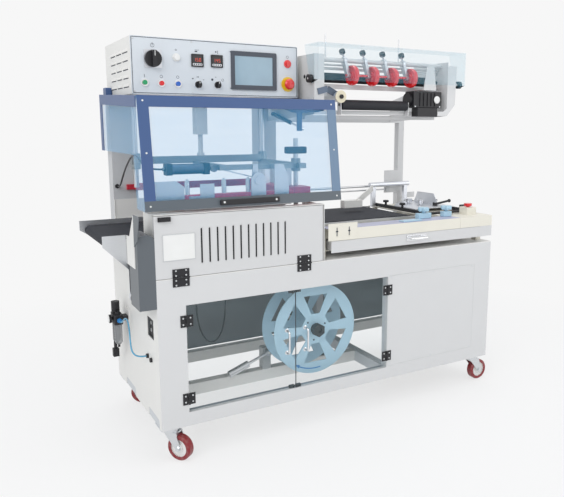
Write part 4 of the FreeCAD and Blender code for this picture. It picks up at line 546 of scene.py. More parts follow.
# ------------------------------------------------------------------- surfaces
class Shape:
    """Vertices and faces gathered before they become one mesh."""

    def __init__(self) -> None:
        """Start empty."""
        self.points: list[Array] = []
        self.faces: list[Array] = []
        self.count = 0

    def add(self, points: Array, faces: Array) -> "Shape":
        """Add a patch whose faces count from its own first vertex."""
        self.points.append(np.asarray(points, float).reshape(-1, 3))
        self.faces.append(np.asarray(faces, int) + self.count)
        self.count += len(self.points[-1])
        return self

    def grid(self, points: Array, wrap_u: bool = False, wrap_v: bool = False) -> "Shape":
        """Add a grid of quads.

        Args:
            points: array of (rows, columns, 3).
            wrap_u: join the last row to the first.
            wrap_v: join the last column to the first.
        """
        rows, cols = points.shape[:2]
        i = np.arange(rows if wrap_u else rows - 1)
        j = np.arange(cols if wrap_v else cols - 1)
        i, j = np.meshgrid(i, j, indexing="ij")
        i2, j2 = (i + 1) % rows, (j + 1) % cols
        quads = np.stack((i * cols + j, i * cols + j2, i2 * cols + j2, i2 * cols + j), -1)
        return self.add(points, quads.reshape(-1, 4))

    def lathe(self, profile: Sequence, base: Array, axis: Array, sides: int = 32) -> "Shape":
        """Turned form: each (radius, height) of the profile swung round an axis.

        The point is base + height*axis + radius*(cos t * u + sin t * v), with u
        and v square to the axis.  Radii of nought close the ends.

        Args:
            profile: (radius, height) pairs in millimetres, from one end to the other.
            base: place of height nought, in metres.
            axis: direction of rising height.
            sides: segments round.
        """
        p = np.asarray(profile, float) / MM
        a, u, v = square_axes(axis)
        t = np.linspace(0.0, 2 * np.pi, sides, endpoint=False)
        ring = np.cos(t)[:, None] * u + np.sin(t)[:, None] * v
        body = base + p[:, None, 1:2] * a + p[:, None, 0:1] * ring[None]
        return self.grid(body, wrap_v=True)

    def box(self, low: Sequence[Number], high: Sequence[Number]) -> "Shape":
        """Block between two corners in machine millimetres."""
        a, b = at(*low), at(*high)
        bits = np.array([[k & 1, k >> 1 & 1, k >> 2 & 1] for k in range(8)])
        corners = np.where(bits, b, a)
        quads = ((0, 2, 3, 1), (4, 5, 7, 6), (0, 1, 5, 4), (2, 6, 7, 3), (0, 4, 6, 2), (1, 3, 7, 5))
        return self.add(corners, np.array(quads))

    def beam(self, start: Sequence[Number], end: Sequence[Number], half_y: Number,
             half_z: Number) -> "Shape":
        """Flat bar between two machine places, half as wide and high as given."""
        a, b = at(*start), at(*end)
        _, side, up = square_axes(b - a)
        reach = ((-side * half_y, -up * half_z), (side * half_y, -up * half_z),
                 (side * half_y, up * half_z), (-side * half_y, up * half_z))
        ring = np.array([(p + q) / MM for p, q in reach])
        body = np.stack((np.repeat(a[None], 4, 0), a + ring, b + ring, np.repeat(b[None], 4, 0)))
        return self.grid(body, wrap_v=True)

    def tube(self, path: Array, radius: Number, sides: int = 12) -> "Shape":
        """Round bar carried along a path, with flat closed ends.

        Each ring is path + radius*(cos t * n + sin t * b), where n and b are
        square to the path's own direction and are carried from ring to ring.

        Args:
            path: points in metres.
            radius: millimetres.
            sides: segments round.
        """
        path = np.asarray(path, float)
        along = np.gradient(path, axis=0)
        along /= np.linalg.norm(along, axis=1)[:, None]
        _, n, _ = square_axes(along[0])
        normals = np.empty_like(path)
        for k, d in enumerate(along):
            n = n - d * n.dot(d)
            n /= np.linalg.norm(n)
            normals[k] = n
        binormals = np.cross(along, normals)
        t = np.linspace(0.0, 2 * np.pi, sides, endpoint=False)
        ring = (np.cos(t)[None, :, None] * normals[:, None]
                + np.sin(t)[None, :, None] * binormals[:, None]) * (radius / MM)
        body = path[:, None] + ring
        body = np.concatenate((np.repeat(path[:1, None], sides, 1), body,
                               np.repeat(path[-1:, None], sides, 1)))
        return self.grid(body, wrap_v=True)

    def object(self, name: str, smooth: float | None = SMOOTH,
               bevel: float = 0.0) -> bpy.types.Object:
        """Make the mesh object.

        Args:
            name: object name.
            smooth: edges flatter than this many degrees are shaded smooth.
            bevel: width in millimetres of a bevel on sharp edges.

        Returns:
            The object, at the origin.
        """
        mesh = bpy.data.meshes.new(name)
        faces = [row for block in self.faces for row in block.tolist()]
        mesh.from_pydata(np.concatenate(self.points).tolist(), [], faces)
        tidy(mesh)
        obj = bpy.data.objects.new(name, mesh)
        bpy.context.scene.collection.objects.link(obj)
        if bevel:
            mod = obj.modifiers.new("edge", "BEVEL")
            mod.width, mod.segments, mod.limit_method = bevel / MM, 2, "ANGLE"
        if smooth is not None:
            mesh.shade_smooth()
            mesh.set_sharp_from_angle(angle=math.radians(smooth))
        return obj


def tidy(mesh: bpy.types.Mesh) -> None:
    """Merge doubled points, drop empty faces and point all faces outwards."""
    bm = bmesh.new()
    bm.from_mesh(mesh)
    bmesh.ops.remove_doubles(bm, verts=bm.verts, dist=1e-6)
    bmesh.ops.dissolve_degenerate(bm, edges=bm.edges, dist=1e-7)
    bmesh.ops.recalc_face_normals(bm, faces=bm.faces)
    bm.to_mesh(mesh)
    bm.free()


def square_axes(axis: Sequence[Number]) -> tuple[Array, Array, Array]:
    """Unit axis and two unit vectors square to it and to each other."""
    a = np.asarray(axis, float)
    a = a / np.linalg.norm(a)
    helper = np.array((0.0, 0.0, 1.0)) if abs(a[2]) < 0.9 else np.array((1.0, 0.0, 0.0))
    u = np.cross(helper, a)
    u /= np.linalg.norm(u)
    return a, u, np.cross(a, u)


def settle(shape: Shape, name: str, body: str, finish: Finish, *areas: tuple[Finish, Mask],
           smooth: float | None = SMOOTH, bevel: float = 0.0) -> bpy.types.Object:
    """Make a piece, dress it and let it ride on a body.

    Args:
        shape: its surfaces.
        name: object name.
        body: the body that carries it.
        finish: finish of the faces that no area claims.
        areas: (finish, mask) pairs.
        smooth, bevel: as for Shape.object.

    Returns:
        The object.
    """
    obj = shape.object(name, smooth, bevel)
    dress(obj, finish, *areas)
    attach(obj, body)
    LOG.info("piece %s on %s", name, body)
    return obj


X, Y, Z = np.eye(3)


def screw_heads(shape: Shape, places: Sequence, facing: Array, radius: Number = 4.5,
                rise: Number = 2.6) -> Shape:
    """Domed cap heads with a socket, one per place.

    Args:
        shape: what they are added to.
        places: machine millimetres on the surface.
        facing: outward direction.
        radius, rise: millimetres.

    Returns:
        The same shape.
    """
    r, h = radius, rise
    profile = ((0, 0), (r, 0), (r, h * 0.55), (r * 0.86, h * 0.92), (r * 0.55, h),
               (r * 0.5, h), (r * 0.46, h * 0.35), (0, h * 0.35))
    for place in places:
        shape.lathe(profile, at(*place), facing, 14)
    return shape


def plain_screws(name: str, body: str, places: Sequence, facing: Array = -Y,
                 radius: Number = 3.2, finish: Finish = Finish.ZINC) -> bpy.types.Object:
    """Row of small bright screw heads that rides on a body."""
    return settle(screw_heads(Shape(), places, facing, radius, radius * 0.45), name, body, finish)


# ---------------------------------------------------------------- the studio
@dataclass
class Studio:
    """Camera, lamps, floor and world."""

    eye: tuple = (-615.63, -2208.26, 1260.5)
    yaw: float = 30.32
    pitch: float = -9.57
    roll: float = 0.15
    lens: float = 40.67
    shift: tuple = (-0.0663, -0.0262)
    backdrop: tuple = (0.93, 0.93, 0.93)
    sky: tuple = (0.93, 0.96, 1.0)
    sky_strength: float = 0.62
    floor_half: float = 12.0
    fade_from: float = 0.9
    fade_over: float = 1.6
    light_share: tuple = (0.72, 1.0)
    lights: tuple = (("key", 78.0, 2.6, (-2600, -2300, 3100), (700, 300, 800)),
                     ("fill", 36.0, 3.2, (3300, -2600, 2100), (900, 300, 800)),
                     ("top", 40.0, 3.0, (800, 400, 3900), (800, 400, 700)))

    def build(self) -> None:
        """Make everything that is not the machine."""
        self.camera()
        self.world()
        self.floor()
        self.lamps()

    def camera(self) -> None:
        """Camera placed and turned as its fields say."""
        cam = bpy.data.cameras.new("camera")
        cam.lens, cam.sensor_width = self.lens, 36.0
        cam.shift_x, cam.shift_y = self.shift
        cam.clip_end = 50.0
        obj = bpy.data.objects.new("camera", cam)
        turn = (Euler((0, 0, -math.radians(self.yaw))).to_matrix()
                @ Euler((math.radians(90 + self.pitch), 0, 0)).to_matrix()
                @ Euler((0, 0, math.radians(self.roll))).to_matrix())
        obj.matrix_world = turn.to_4x4()
        obj.location = Vector(at(*self.eye))
        bpy.context.scene.collection.objects.link(obj)
        bpy.context.scene.camera = obj

    def world(self) -> None:
        """Soft grey sky that camera, mirror and clear rays see as the backdrop."""
        world = bpy.data.worlds.new("studio")
        bpy.context.scene.world = world
        world.use_nodes = True
        tree = world.node_tree
        tree.nodes.clear()
        mix = tree.nodes.new("ShaderNodeMixShader")
        tree.links.new(seen_rays(tree), mix.inputs[0])
        for slot, colour, strength in ((1, self.sky, self.sky_strength),
                                       (2, self.backdrop, 1.0)):
            light = tree.nodes.new("ShaderNodeBackground")
            light.inputs["Color"].default_value = (*colour, 1.0)
            light.inputs["Strength"].default_value = strength
            tree.links.new(light.outputs[0], mix.inputs[slot])
        out = tree.nodes.new("ShaderNodeOutputWorld")
        tree.links.new(mix.outputs[0], out.inputs[0])

    def floor(self) -> None:
        """Pale floor that keeps the machine's shadow and fades into the backdrop."""
        shape = Shape()
        ticks = np.linspace(-self.floor_half, self.floor_half, 3)
        x, y = np.meshgrid(ticks, ticks, indexing="ij")
        shape.grid(np.stack((x, y, np.zeros_like(x)), -1))
        obj = shape.object("floor", None)
        obj.data.materials.append(self.floor_paint())

    def floor_paint(self) -> bpy.types.Material:
        """Paint that camera, mirror and clear rays see mostly as the backdrop's light.

        The shadow keeps its share near the machine and dies away with distance.
        """
        g = Graph("floor_paint")
        x, y, _ = g.axes()
        far = (((x * x + y * y).power(0.5) - self.fade_from) / self.fade_over).clamp()
        near_share, far_share = self.light_share
        tone = g.mix(g.noise(2.0, 3.0) * 0.02, self.backdrop, (0.9, 0.9, 0.9))
        paint = g.add("ShaderNodeBsdfPrincipled", None, {"Base Color": tone, "Roughness": 0.8})
        light = g.add("ShaderNodeEmission", None, {"Color": self.backdrop})
        share = Value(g, seen_rays(g.tree)) * (far * (far_share - near_share) + near_share)
        g.join(g.add("ShaderNodeMixShader", None, {0: share, 1: paint, 2: light}))
        return g.material

    def lamps(self) -> None:
        """One broad key from the upper left, a fill from the right and a top light."""
        for name, power, size, spot, aim in self.lights:
            lamp = bpy.data.lights.new(name, "AREA")
            lamp.energy, lamp.size = power, size
            obj = bpy.data.objects.new(name, lamp)
            obj.location = Vector(at(*spot))
            aim_at = Vector(at(*aim)) - obj.location
            obj.rotation_euler = aim_at.to_track_quat("-Z", "Y").to_euler()
            bpy.context.scene.collection.objects.link(obj)


# -------------------------------------------------------------- sub-assemblies
@dataclass
class SubAssembly:
    """One group of the machine: dresses its frame nodes, then adds its own pieces."""

    nodes: dict

    def wear(self, node: str, finish: Finish, *areas: tuple[Finish, Mask]) -> None:
        """Dress a frame node.

        Args:
            node: its name.
            finish: finish of the faces that no area claims.
            areas: (finish, mask) pairs.
        """
        dress(self.nodes[node], finish, *areas)
        LOG.info("dressed %s", node)

    def build(self) -> None:
        """Dress and furnish; each sub-assembly has its own."""
        raise NotImplementedError


@dataclass
class Cord:
    """Free hose or cable drawn as a smooth spline through its route.

    Args:
        node: frame node that the spline stands for.
        route: its control points in machine millimetres.
        diameter: millimetres.
        length: millimetres.
        finish: its skin.
    """

    node: str
    route: tuple
    diameter: float
    length: float
    finish: Finish

    def build(self) -> bpy.types.Object:
        """Open order-3 NURBS curve with a round bevel that stands in for the node."""
        curve = bpy.data.curves.new(self.node + "_run", "CURVE")
        curve.dimensions = "3D"
        curve.bevel_depth = self.diameter / (2 * MM)
        curve.bevel_resolution, curve.resolution_u, curve.use_fill_caps = 4, 12, True
        spline = curve.splines.new("NURBS")
        spline.points.add(len(self.route) - 1)
        points = np.array([(*at(*p), 1.0) for p in self.route], np.float32)
        spline.points.foreach_set("co", points.ravel())
        spline.order_u = 3
        spline.use_endpoint_u = True
        obj = bpy.data.objects.new(self.node + "_run", curve)
        bpy.context.scene.collection.objects.link(obj)
        curve.materials.append(WARDROBE.get(self.finish))
        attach(obj, "machine")
        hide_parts(self.node)
        LOG.info("cord %s, %.0f mm", self.node, self.length)
        return obj


AIR_TUBE = Cord("air_tube", (
    (-44, 406, 461), (-44, 378, 461), (-45, 340, 484), (-47, 292, 506), (-50, 240, 508),
    (-55, 200, 478), (-59, 178.6, 440), (-59.2, 158.6, 405.4), (-38, 148, 387), (-8, 148, 387)),
    6.0, 365.0, Finish.AIR_BLUE)
HEAD_HOSE = Cord("head_hose", (
    (16, 588, 1004), (16, 550, 1004), (16, 506, 1040), (14, 440, 1084), (12, 366, 1122),
    (10, 298, 1148), (11, 228, 1150), (11.2, 174.5, 1122.5), (43, 152, 1100), (83, 152, 1100)),
    7.0, 537.9, Finish.HOSE)
WINDOW_CABLE = Cord("window_cable", (
    (322, 500, 699), (322, 500, 640), (319, 500, 560), (318, 500, 470), (322, 500, 390),
    (338, 500, 320), (370, 500, 268), (414, 500, 268), (444, 500, 320), (458, 500, 390),
    (461, 500, 470), (460, 500, 560), (458, 500, 640), (458, 500, 699)),
    7.0, 918.0, Finish.HOSE)


@dataclass
class Base(SubAssembly):
    """Welded base, its sheet panels and the fixed dark fittings."""

    def build(self) -> None:
        """Dress the base and add its screws."""
        self.wear("base_frame", Finish.PALE_INSIDE,
                  (Finish.RAIL_SLATE, within((40, 2, 184), (1030, 43.5, 186))),
                  (Finish.CREAM, within((43, 628, 130), (1600, 673, 190))))
        self.wear("front_panel", Finish.FRONT)
        # painted shade: the cabinet's inner faces are painted dark grey for the shade inside it
        inside = within((3, 3, 189), (1637, 672.6, 711.4))
        self.wear("cabinet_panels", Finish.CREAM, (Finish.DARK_INSIDE, inside))
        self.wear("fixed_fittings", Finish.BLACK)
        self.wear("upper_housing", Finish.CREAM,
                  (Finish.FRONT, within((680, -5, 700), (705, 30, 960))))
        self.wear("rear_columns", Finish.COLUMN)
        self.socket()
        rows = [(x, 0, z) for x in (1046, 1284, 1523) for z in (203, 603)]
        plain_screws("side_panel_screws", "machine", rows)

    def socket(self) -> None:
        """Dark outlet block set back behind the hole in the left sheet."""
        shape = Shape().box((9, 58, 469), (32, 147, 553))
        settle(shape, "outlet_block", "machine", Finish.BLACK, bevel=2.0)
        pins = Shape()
        for y in (84, 121):
            for z in (497, 525):
                pins.lathe(((0, 0), (7, 0), (7, 1.6), (4.4, 1.6), (4.4, 0.6), (0, 0.6)),
                           at(9, y, z), -X, 20)
        settle(pins, "outlet_rings", "machine", Finish.TUBE_GREY)


@dataclass
class Casters(SubAssembly):
    """Four swivel casters."""

    places: tuple = (("fl", (50, 50), -53.0), ("fr", (1590, 50), 0.0),
                     ("rl", (50, 625), -20.0), ("rr", (1590, 625), 200.0))
    wheel_r: float = 50.0
    offset: float = 40.0

    def build(self) -> None:
        """Dress forks and wheels."""
        for tag, (x, y), trail in self.places:
            self.wear(f"caster_fork_{tag}", Finish.ZINC)
            t = math.radians(trail)
            cx, cy = x + self.offset * math.cos(t), y + self.offset * math.sin(t)
            hub = self.near((cx, cy, self.wheel_r), 37.0)
            self.wear(f"caster_wheel_{tag}", Finish.TREAD, (Finish.WHITE, hub))

    @staticmethod
    def near(centre: Sequence[Number], radius: Number) -> Mask:
        """Mask of the faces within a radius in millimetres of a point."""
        middle = at(*centre)
        return lambda c: np.linalg.norm(c - middle, axis=1) * MM < radius


@dataclass
class Doors(SubAssembly):
    """Two clear window doors with their hinges and pulls."""

    hinge_z: tuple = (244.0, 548.0)
    screw_dz: float = 12.0
    pull_z: tuple = (350.0, 444.0)

    def build(self) -> None:
        """Dress panes, leaves and pulls."""
        for name, hinge_x, handle_x in (("door_left", 107.0, 524.0), ("door_right", 1027.0, 608.0)):
            leaves = [within((hinge_x - 30, -12, z - 40), (hinge_x + 30, 6, z + 60))
                      for z in self.hinge_z]
            pull = within((handle_x - 14, -40, 330), (handle_x + 14, -0.4, 470))
            meet = within((564.5, -1, 180), (567.5, 6, 620))
            self.wear(name, Finish.DOOR, (Finish.BLACK, leaves[0]), (Finish.BLACK, leaves[1]),
                      (Finish.CHROME, pull), (Finish.COVER_GREY, meet))
        for body, fixed_x, moving_x, pull_x in (("left_door", 94, 122, 524),
                                                ("right_door", 1040, 1012, 608)):
            heights = [z + dz for z in self.hinge_z for dz in (-self.screw_dz, self.screw_dz)]
            plain_screws(f"{body}_leaf_screws", body, [(moving_x, -2.5, z) for z in heights])
            plain_screws(f"{body}_frame_screws", "machine", [(fixed_x, -2.5, z) for z in heights])
            roses = Shape()
            for z in self.pull_z:
                roses.lathe(((4.2, 0), (8.5, 0), (8.5, 1.6), (6.5, 3.0), (4.2, 3.0)),
                            at(pull_x, 0, z), -Y, 24)
            settle(roses, f"{body}_roses", body, Finish.CHROME)


@dataclass
class Housing(SubAssembly):
    """Vented access panel, drive cover and the outfeed in front of the columns."""

    vent_x: tuple = (175.0, 520.0)
    vent_z: float = 826.5
    vents_across: int = 12
    vent_half: tuple = (7.4, 69.4)
    slit_half: float = 3.6
    backing_margin: tuple = (16.0, 80.0)
    hinge_x: tuple = (92.0, 605.0)
    card: tuple = (28.0, 150.0, 780.0, 878.0)
    card_rim: float = 2.5

    def build(self) -> None:
        """Dress the access panel, its fittings and the drive cover."""
        self.wear("access_panel", Finish.PANEL)
        self.wear("access_fittings", Finish.BLACK,
                  (Finish.WHITE, within((27, -2, 779), (151, 0.5, 879))))
        self.wear("drive_cover", Finish.COVER_GREY,
                  (Finish.CREAM, within((-66, 20, 750), (-62.3, 140, 960))))
        self.vents()
        self.holder()
        for name, body, z in (("vent_panel_screws", "vent_panel", (724, 742)),
                              ("housing_hinge_screws", "machine", (706, 688))):
            places = [(x + dx, -2.5, h) for x in self.hinge_x for dx in (-19, 19) for h in z]
            plain_screws(name, body, places)

    def vents(self) -> None:
        """Pressed lips that narrow the vents, and the dark mesh sheet behind them.

        A lip's rings are slots: a circle whose upper and lower halves stand apart
        by the vent's straight length.
        """
        low, high = self.vent_x
        wide, tall = self.vent_half
        lips = Shape()
        t = np.linspace(0.0, 2 * np.pi, 24, endpoint=False)
        side, rise = np.cos(t), np.sin(t)
        for xc in np.linspace(low, high, self.vents_across):
            rings = []
            for radius, y in ((wide, 0.2), (self.slit_half, 0.5), (self.slit_half, 2.3),
                              (wide, 2.3)):
                x = xc + radius * side
                z = self.vent_z + radius * rise + np.sign(rise) * (tall - wide)
                rings.append(np.stack((x, np.full_like(x, y), z), -1))
            lips.grid(placed(np.stack(rings, 1)), wrap_u=True, wrap_v=True)
        settle(lips, "vent_lips", "vent_panel", Finish.PANEL, smooth=50.0)
        dx, dz = self.backing_margin
        mesh = Shape().box((low - dx, 3.0, self.vent_z - dz), (high + dx, 4.0, self.vent_z + dz))
        settle(mesh, "vent_backing", "vent_panel", Finish.BLACK_COAT, smooth=None)

    def holder(self) -> None:
        """Thin frame round the blank card plate on the vented panel."""
        x0, x1, z0, z1 = self.card
        r = self.card_rim
        frame = Shape()
        for a, b, c, d in ((x0, x1, z0, z0 + r), (x0, x1, z1 - r, z1),
                           (x0, x0 + r, z0 + r, z1 - r), (x1 - r, x1, z0 + r, z1 - r)):
            frame.box((a, -2.4, c), (b, -1.4, d))
        settle(frame, "card_frame", "vent_panel", Finish.COLUMN, smooth=None)


@dataclass
class ControlBox(SubAssembly):
    """Box with the operator's panel."""

    face: float = 234.0
    controllers: tuple = ((261, 1511), (341, 1512))
    readings: tuple = ("150", "145")
    window_half: float = 19.6
    segments: dict = field(default_factory=lambda: {
        "0": "abcdef", "1": "bc", "4": "bcfg", "5": "acdfg"})

    def build(self) -> None:
        """Dress the box, its fixed fittings and the moving controls."""
        front = self.ahead(0, 703, 1379, 1590, 1, -5)
        self.wear("control_box", Finish.CREAM, (Finish.FACE_BLUE, front),
                  (Finish.BLACK_COAT, within((703, 480, 1300), (735, 530, 1376))))
        proud = self.ahead(0, 702, 1380, 1590, 20)
        screen = self.ahead(397, 602, 1405, 1557, 9)
        glass = self.ahead(416, 582, 1425, 1538, 6.2, 5.8)
        lamp = self.ahead(160, 193, 1494, 1534, 13, 0)
        r = self.window_half
        windows = [self.ahead(x - r, x + r, z - r, z + r, 4.2, 3.8) for x, z in self.controllers]
        temps = self.ahead(236, 366, 1486, 1537, 7)
        stop = self.ahead(625, 688, 1403, 1466, 4)
        switch = self.ahead(52, 122, 1474, 1544, 4)
        reset = self.ahead(637, 673, 1499, 1535, 4)
        self.wear("panel_fittings", Finish.BLACK, (Finish.CHROME, proud), (Finish.PLATE, switch),
                  (Finish.BEZEL, screen), (Finish.LCD, glass), (Finish.WHITE, lamp),
                  (Finish.BLACK, temps), (Finish.DIGITS, windows[0]), (Finish.DIGITS, windows[1]),
                  (Finish.YELLOW, stop), (Finish.RED, reset))
        for name, finish in (("main_switch", Finish.BLACK), ("button_green", Finish.GREEN),
                             ("button_red", Finish.RED), ("button_blue", Finish.BLUE),
                             ("button_reset", Finish.RED), ("emergency_stop", Finish.RED),
                             ("selector_left", Finish.BLACK), ("selector_right", Finish.BLACK)):
            self.wear(name, finish)
        self.marks()
        self.seam()
        self.readouts()
        self.pointers()
        self.louvres()

    def ahead(self, x0: Number, x1: Number, z0: Number, z1: Number, far: Number,
              near: Number = -0.2) -> Mask:
        """Mask of the faces between two distances in front of the lift-off plate.

        Args:
            x0, x1, z0, z1: machine millimetres across and up.
            far, near: millimetres in front of the plate; less than nought is behind.

        Returns:
            The mask.
        """
        return within((x0, self.face - far, z0), (x1, self.face - near, z1))

    def marks(self) -> None:
        """Printed rings and bars that say what each control does."""
        y = self.face
        shape = Shape()
        for x, z, r in ((87, 1558, 7.5), (117, 1445, 5.5), (181, 1445, 5.5), (365, 1441, 5),
                        (655, 1545, 5.5), (177, 1546, 3.5)):
            ring = ((r - 1.2, 0), (r, 0), (r, 0.25), (r - 1.2, 0.25), (r - 1.2, 0))
            shape.lathe(ring, at(x, y, z), -Y, 24)
        shape.lathe(((0, 0), (4.5, 0), (4.5, 0.25), (0, 0.25)), at(321, y, 1441), -Y, 20)
        for x0, x1, z0, z1 in ((86.2, 87.8, 1557, 1568), (52.2, 53.8, 1440, 1451),
                               (252, 270, 1550, 1551.2), (252, 262, 1543, 1547.5),
                               (336, 341, 1545, 1551), (345, 347, 1541, 1553),
                               (238, 244, 1440, 1444), (258, 260, 1446, 1452),
                               (263, 265, 1446, 1452), (283, 288, 1438, 1440),
                               (333, 338, 1450, 1452)):
            shape.box((x0, y - 0.25, z0), (x1, y, z1))
        settle(shape, "panel_marks", "machine", Finish.MARK, smooth=50.0)

    def seam(self) -> None:
        """Rubber seam round the lift-off plate and its corner and edge screws."""
        x0, x1, z0, z1 = 9.0, 698.0, 1383.0, 1585.0
        y = self.face - 0.2
        corners = np.array([at(x, y, z) for x, z in ((x0, z0), (x1, z0), (x1, z1), (x0, z1))])
        shape = Shape()
        for a, b in zip(corners, np.roll(corners, -1, 0)):
            shape.tube(np.stack((a, (a + b) / 2, b)), 1.1, 8)
        settle(shape, "plate_seam", "machine", Finish.MARK)
        places = [(x, self.face, z) for x in (15, 240, 466, 692) for z in (1389, 1579)]
        plain_screws("plate_screws", "machine", places)

    def readouts(self) -> None:
        """Seven-segment figures and the key strip of the two controllers."""
        y = self.face - 4.0
        lit, strip, keys = Shape(), Shape(), Shape()
        for (x, z), text in zip(self.controllers, self.readings):
            strip.box((x - 19, y - 0.6, z - 19), (x + 19, y, z - 11))
            for k in range(4):
                keys.box((x - 16 + k * 9, y - 1.2, z - 17.5), (x - 11 + k * 9, y - 0.6, z - 12.5))
            for k, figure in enumerate(text):
                self.figure(lit, figure, x - 14 + k * 10.5, z - 4, y)
        settle(lit, "lit_figures", "machine", Finish.LIT, smooth=None)
        settle(strip, "key_strips", "machine", Finish.ALLOY, smooth=None)
        settle(keys, "keys", "machine", Finish.MARK, smooth=None)

    def figure(self, shape: Shape, name: str, x: Number, z: Number, y: Number) -> None:
        """Add one seven-segment figure.

        Args:
            shape: what it is added to.
            name: the figure.
            x, z: its lower left corner.
            y: the plane it stands on.
        """
        w, h, s = 6.5, 13.0, 1.3
        bars = {"a": (0, w, h - s, h), "b": (w - s, w, h / 2, h), "c": (w - s, w, 0, h / 2),
                "d": (0, w, 0, s), "e": (0, s, 0, h / 2), "f": (0, s, h / 2, h),
                "g": (0, w, (h - s) / 2, (h + s) / 2)}
        for key in self.segments[name]:
            a, b, c, d = bars[key]
            shape.box((x + a, y - 0.3, z + c), (x + b, y, z + d))

    def pointers(self) -> None:
        """White lines on the selectors and the main dial, riding with them."""
        for name, body, x, z, reach, y in (
                ("left_pointer", "selector_left_knob", 263, 1420, 12, 20),
                ("right_pointer", "selector_right_knob", 343, 1421, 12, 20),
                ("dial_pointer", "main_dial", 87, 1509, 27, 34)):
            line = Shape().box((x - 1.1, self.face - y - 0.3, z + reach * 0.3),
                               (x + 1.1, self.face - y, z + reach))
            settle(line, name, body, Finish.WHITE, smooth=None)

    def louvres(self) -> None:
        """Painted shadows: thin dark strips under the pressed louvres of the left side."""
        shape = Shape()
        for row in range(5):
            for col in range(3):
                y, z = 278 + col * 98, 1413 + row * 32
                shape.box((4.3, y, z - 9.4), (5.0, y + 76, z - 6.2))
        settle(shape, "louvre_mouths", "machine", Finish.MARK, smooth=None)


@dataclass
class Hood(SubAssembly):
    """Tinted hood with its bands, arms and gas strut."""

    pull: Mask = within((249, -20, 960), (491, -3.4, 1000))
    foot: tuple = (0.0, 963.0)
    up: tuple = (0.13522, 0.99082)
    back: tuple = (0.99082, -0.13522)
    strip_rise: float = 3.0
    pull_rise: float = 15.0

    def build(self) -> None:
        """Dress the sheet, its frame and the strut."""
        self.wear("hood_shell", Finish.HOOD)
        self.wear("hood_frame", Finish.HOOD_TRIM,
                  (Finish.HOOD_SLATE, within((730, -10, 990), (780, 70, 1340))),
                  (Finish.HOOD_SILL, within((-40, -16, 955), (780, 6, 1000.3))),
                  (Finish.BLACK, self.pull))
        self.wear("strut_barrel", Finish.BLACK_COAT)
        self.wear("strut_rod", Finish.CHROME)
        out = np.array((0.0, -self.back[0], -self.back[1]))
        rim = [self.on_sheet(x, s, -self.strip_rise) for x in (-8, 758) for s in (18, 205, 388)]
        plain_screws("hood_screws", "hood", rim, out, 3.4, Finish.WHITE)
        ends = [self.on_sheet(x, 18, -self.pull_rise) for x in (263, 477)]
        plain_screws("pull_screws", "hood", ends, out, 4.2, Finish.WHITE)

    def on_sheet(self, x: Number, s: Number, t: Number) -> tuple:
        """Machine place of a point on the slanted front sheet.

        The place is foot + s*up + t*back, with up along the sheet and back
        through it toward the rear.
        """
        (fy, fz), (uy, uz), (by, bz) = self.foot, self.up, self.back
        return (x, fy + s * uy + t * by, fz + s * uz + t * bz)


@dataclass
class SealHead(SubAssembly):
    """Rising head with its jaws, and the fixed jaws below."""

    def build(self) -> None:
        """Dress carriage, jaws, hangers and guides."""
        # painted shade: the carriage's alloy is darkened for the shade behind the hood
        self.wear("jaw_carriage", Finish.DULL_ALLOY,
                  (Finish.CREAM, within((322, 424, 1135.5), (360, 460, 1360))),
                  (Finish.GUN_METAL, within((90, 126, 1070), (262, 174, 1125))),
                  (Finish.BLACK, within((90, 126, 1070), (118, 174, 1125))),
                  (Finish.BLACK, within((238, 126, 1070), (264, 174, 1125))))
        self.wear("upper_jaws", Finish.JAW_RED,
                  (Finish.ZINC, within((130, 60, 1008.2), (420, 84, 1070))),
                  (Finish.STEEL, within((130, 60, 940), (670, 540, 964.5))),
                  (Finish.JAW_RED, within((590.5, 56, 955), (670, 139.5, 1020))))
        self.wear("jaw_hangers", Finish.PLATE)
        self.wear("jaw_guides", Finish.STEEL,
                  (Finish.CREAM, within((312, 410, 1224), (368, 472, 1380))),
                  (Finish.BLACK_COAT, within((584, 100, 1148), (680, 140, 1180))))
        self.wear("lower_jaws", Finish.ALLOY,
                  (Finish.JAW_RED, within((50, 570, 980), (740, 601, 1020))),
                  (Finish.JAW_RED, within((120, 50, 806), (670, 525, 847.5))))


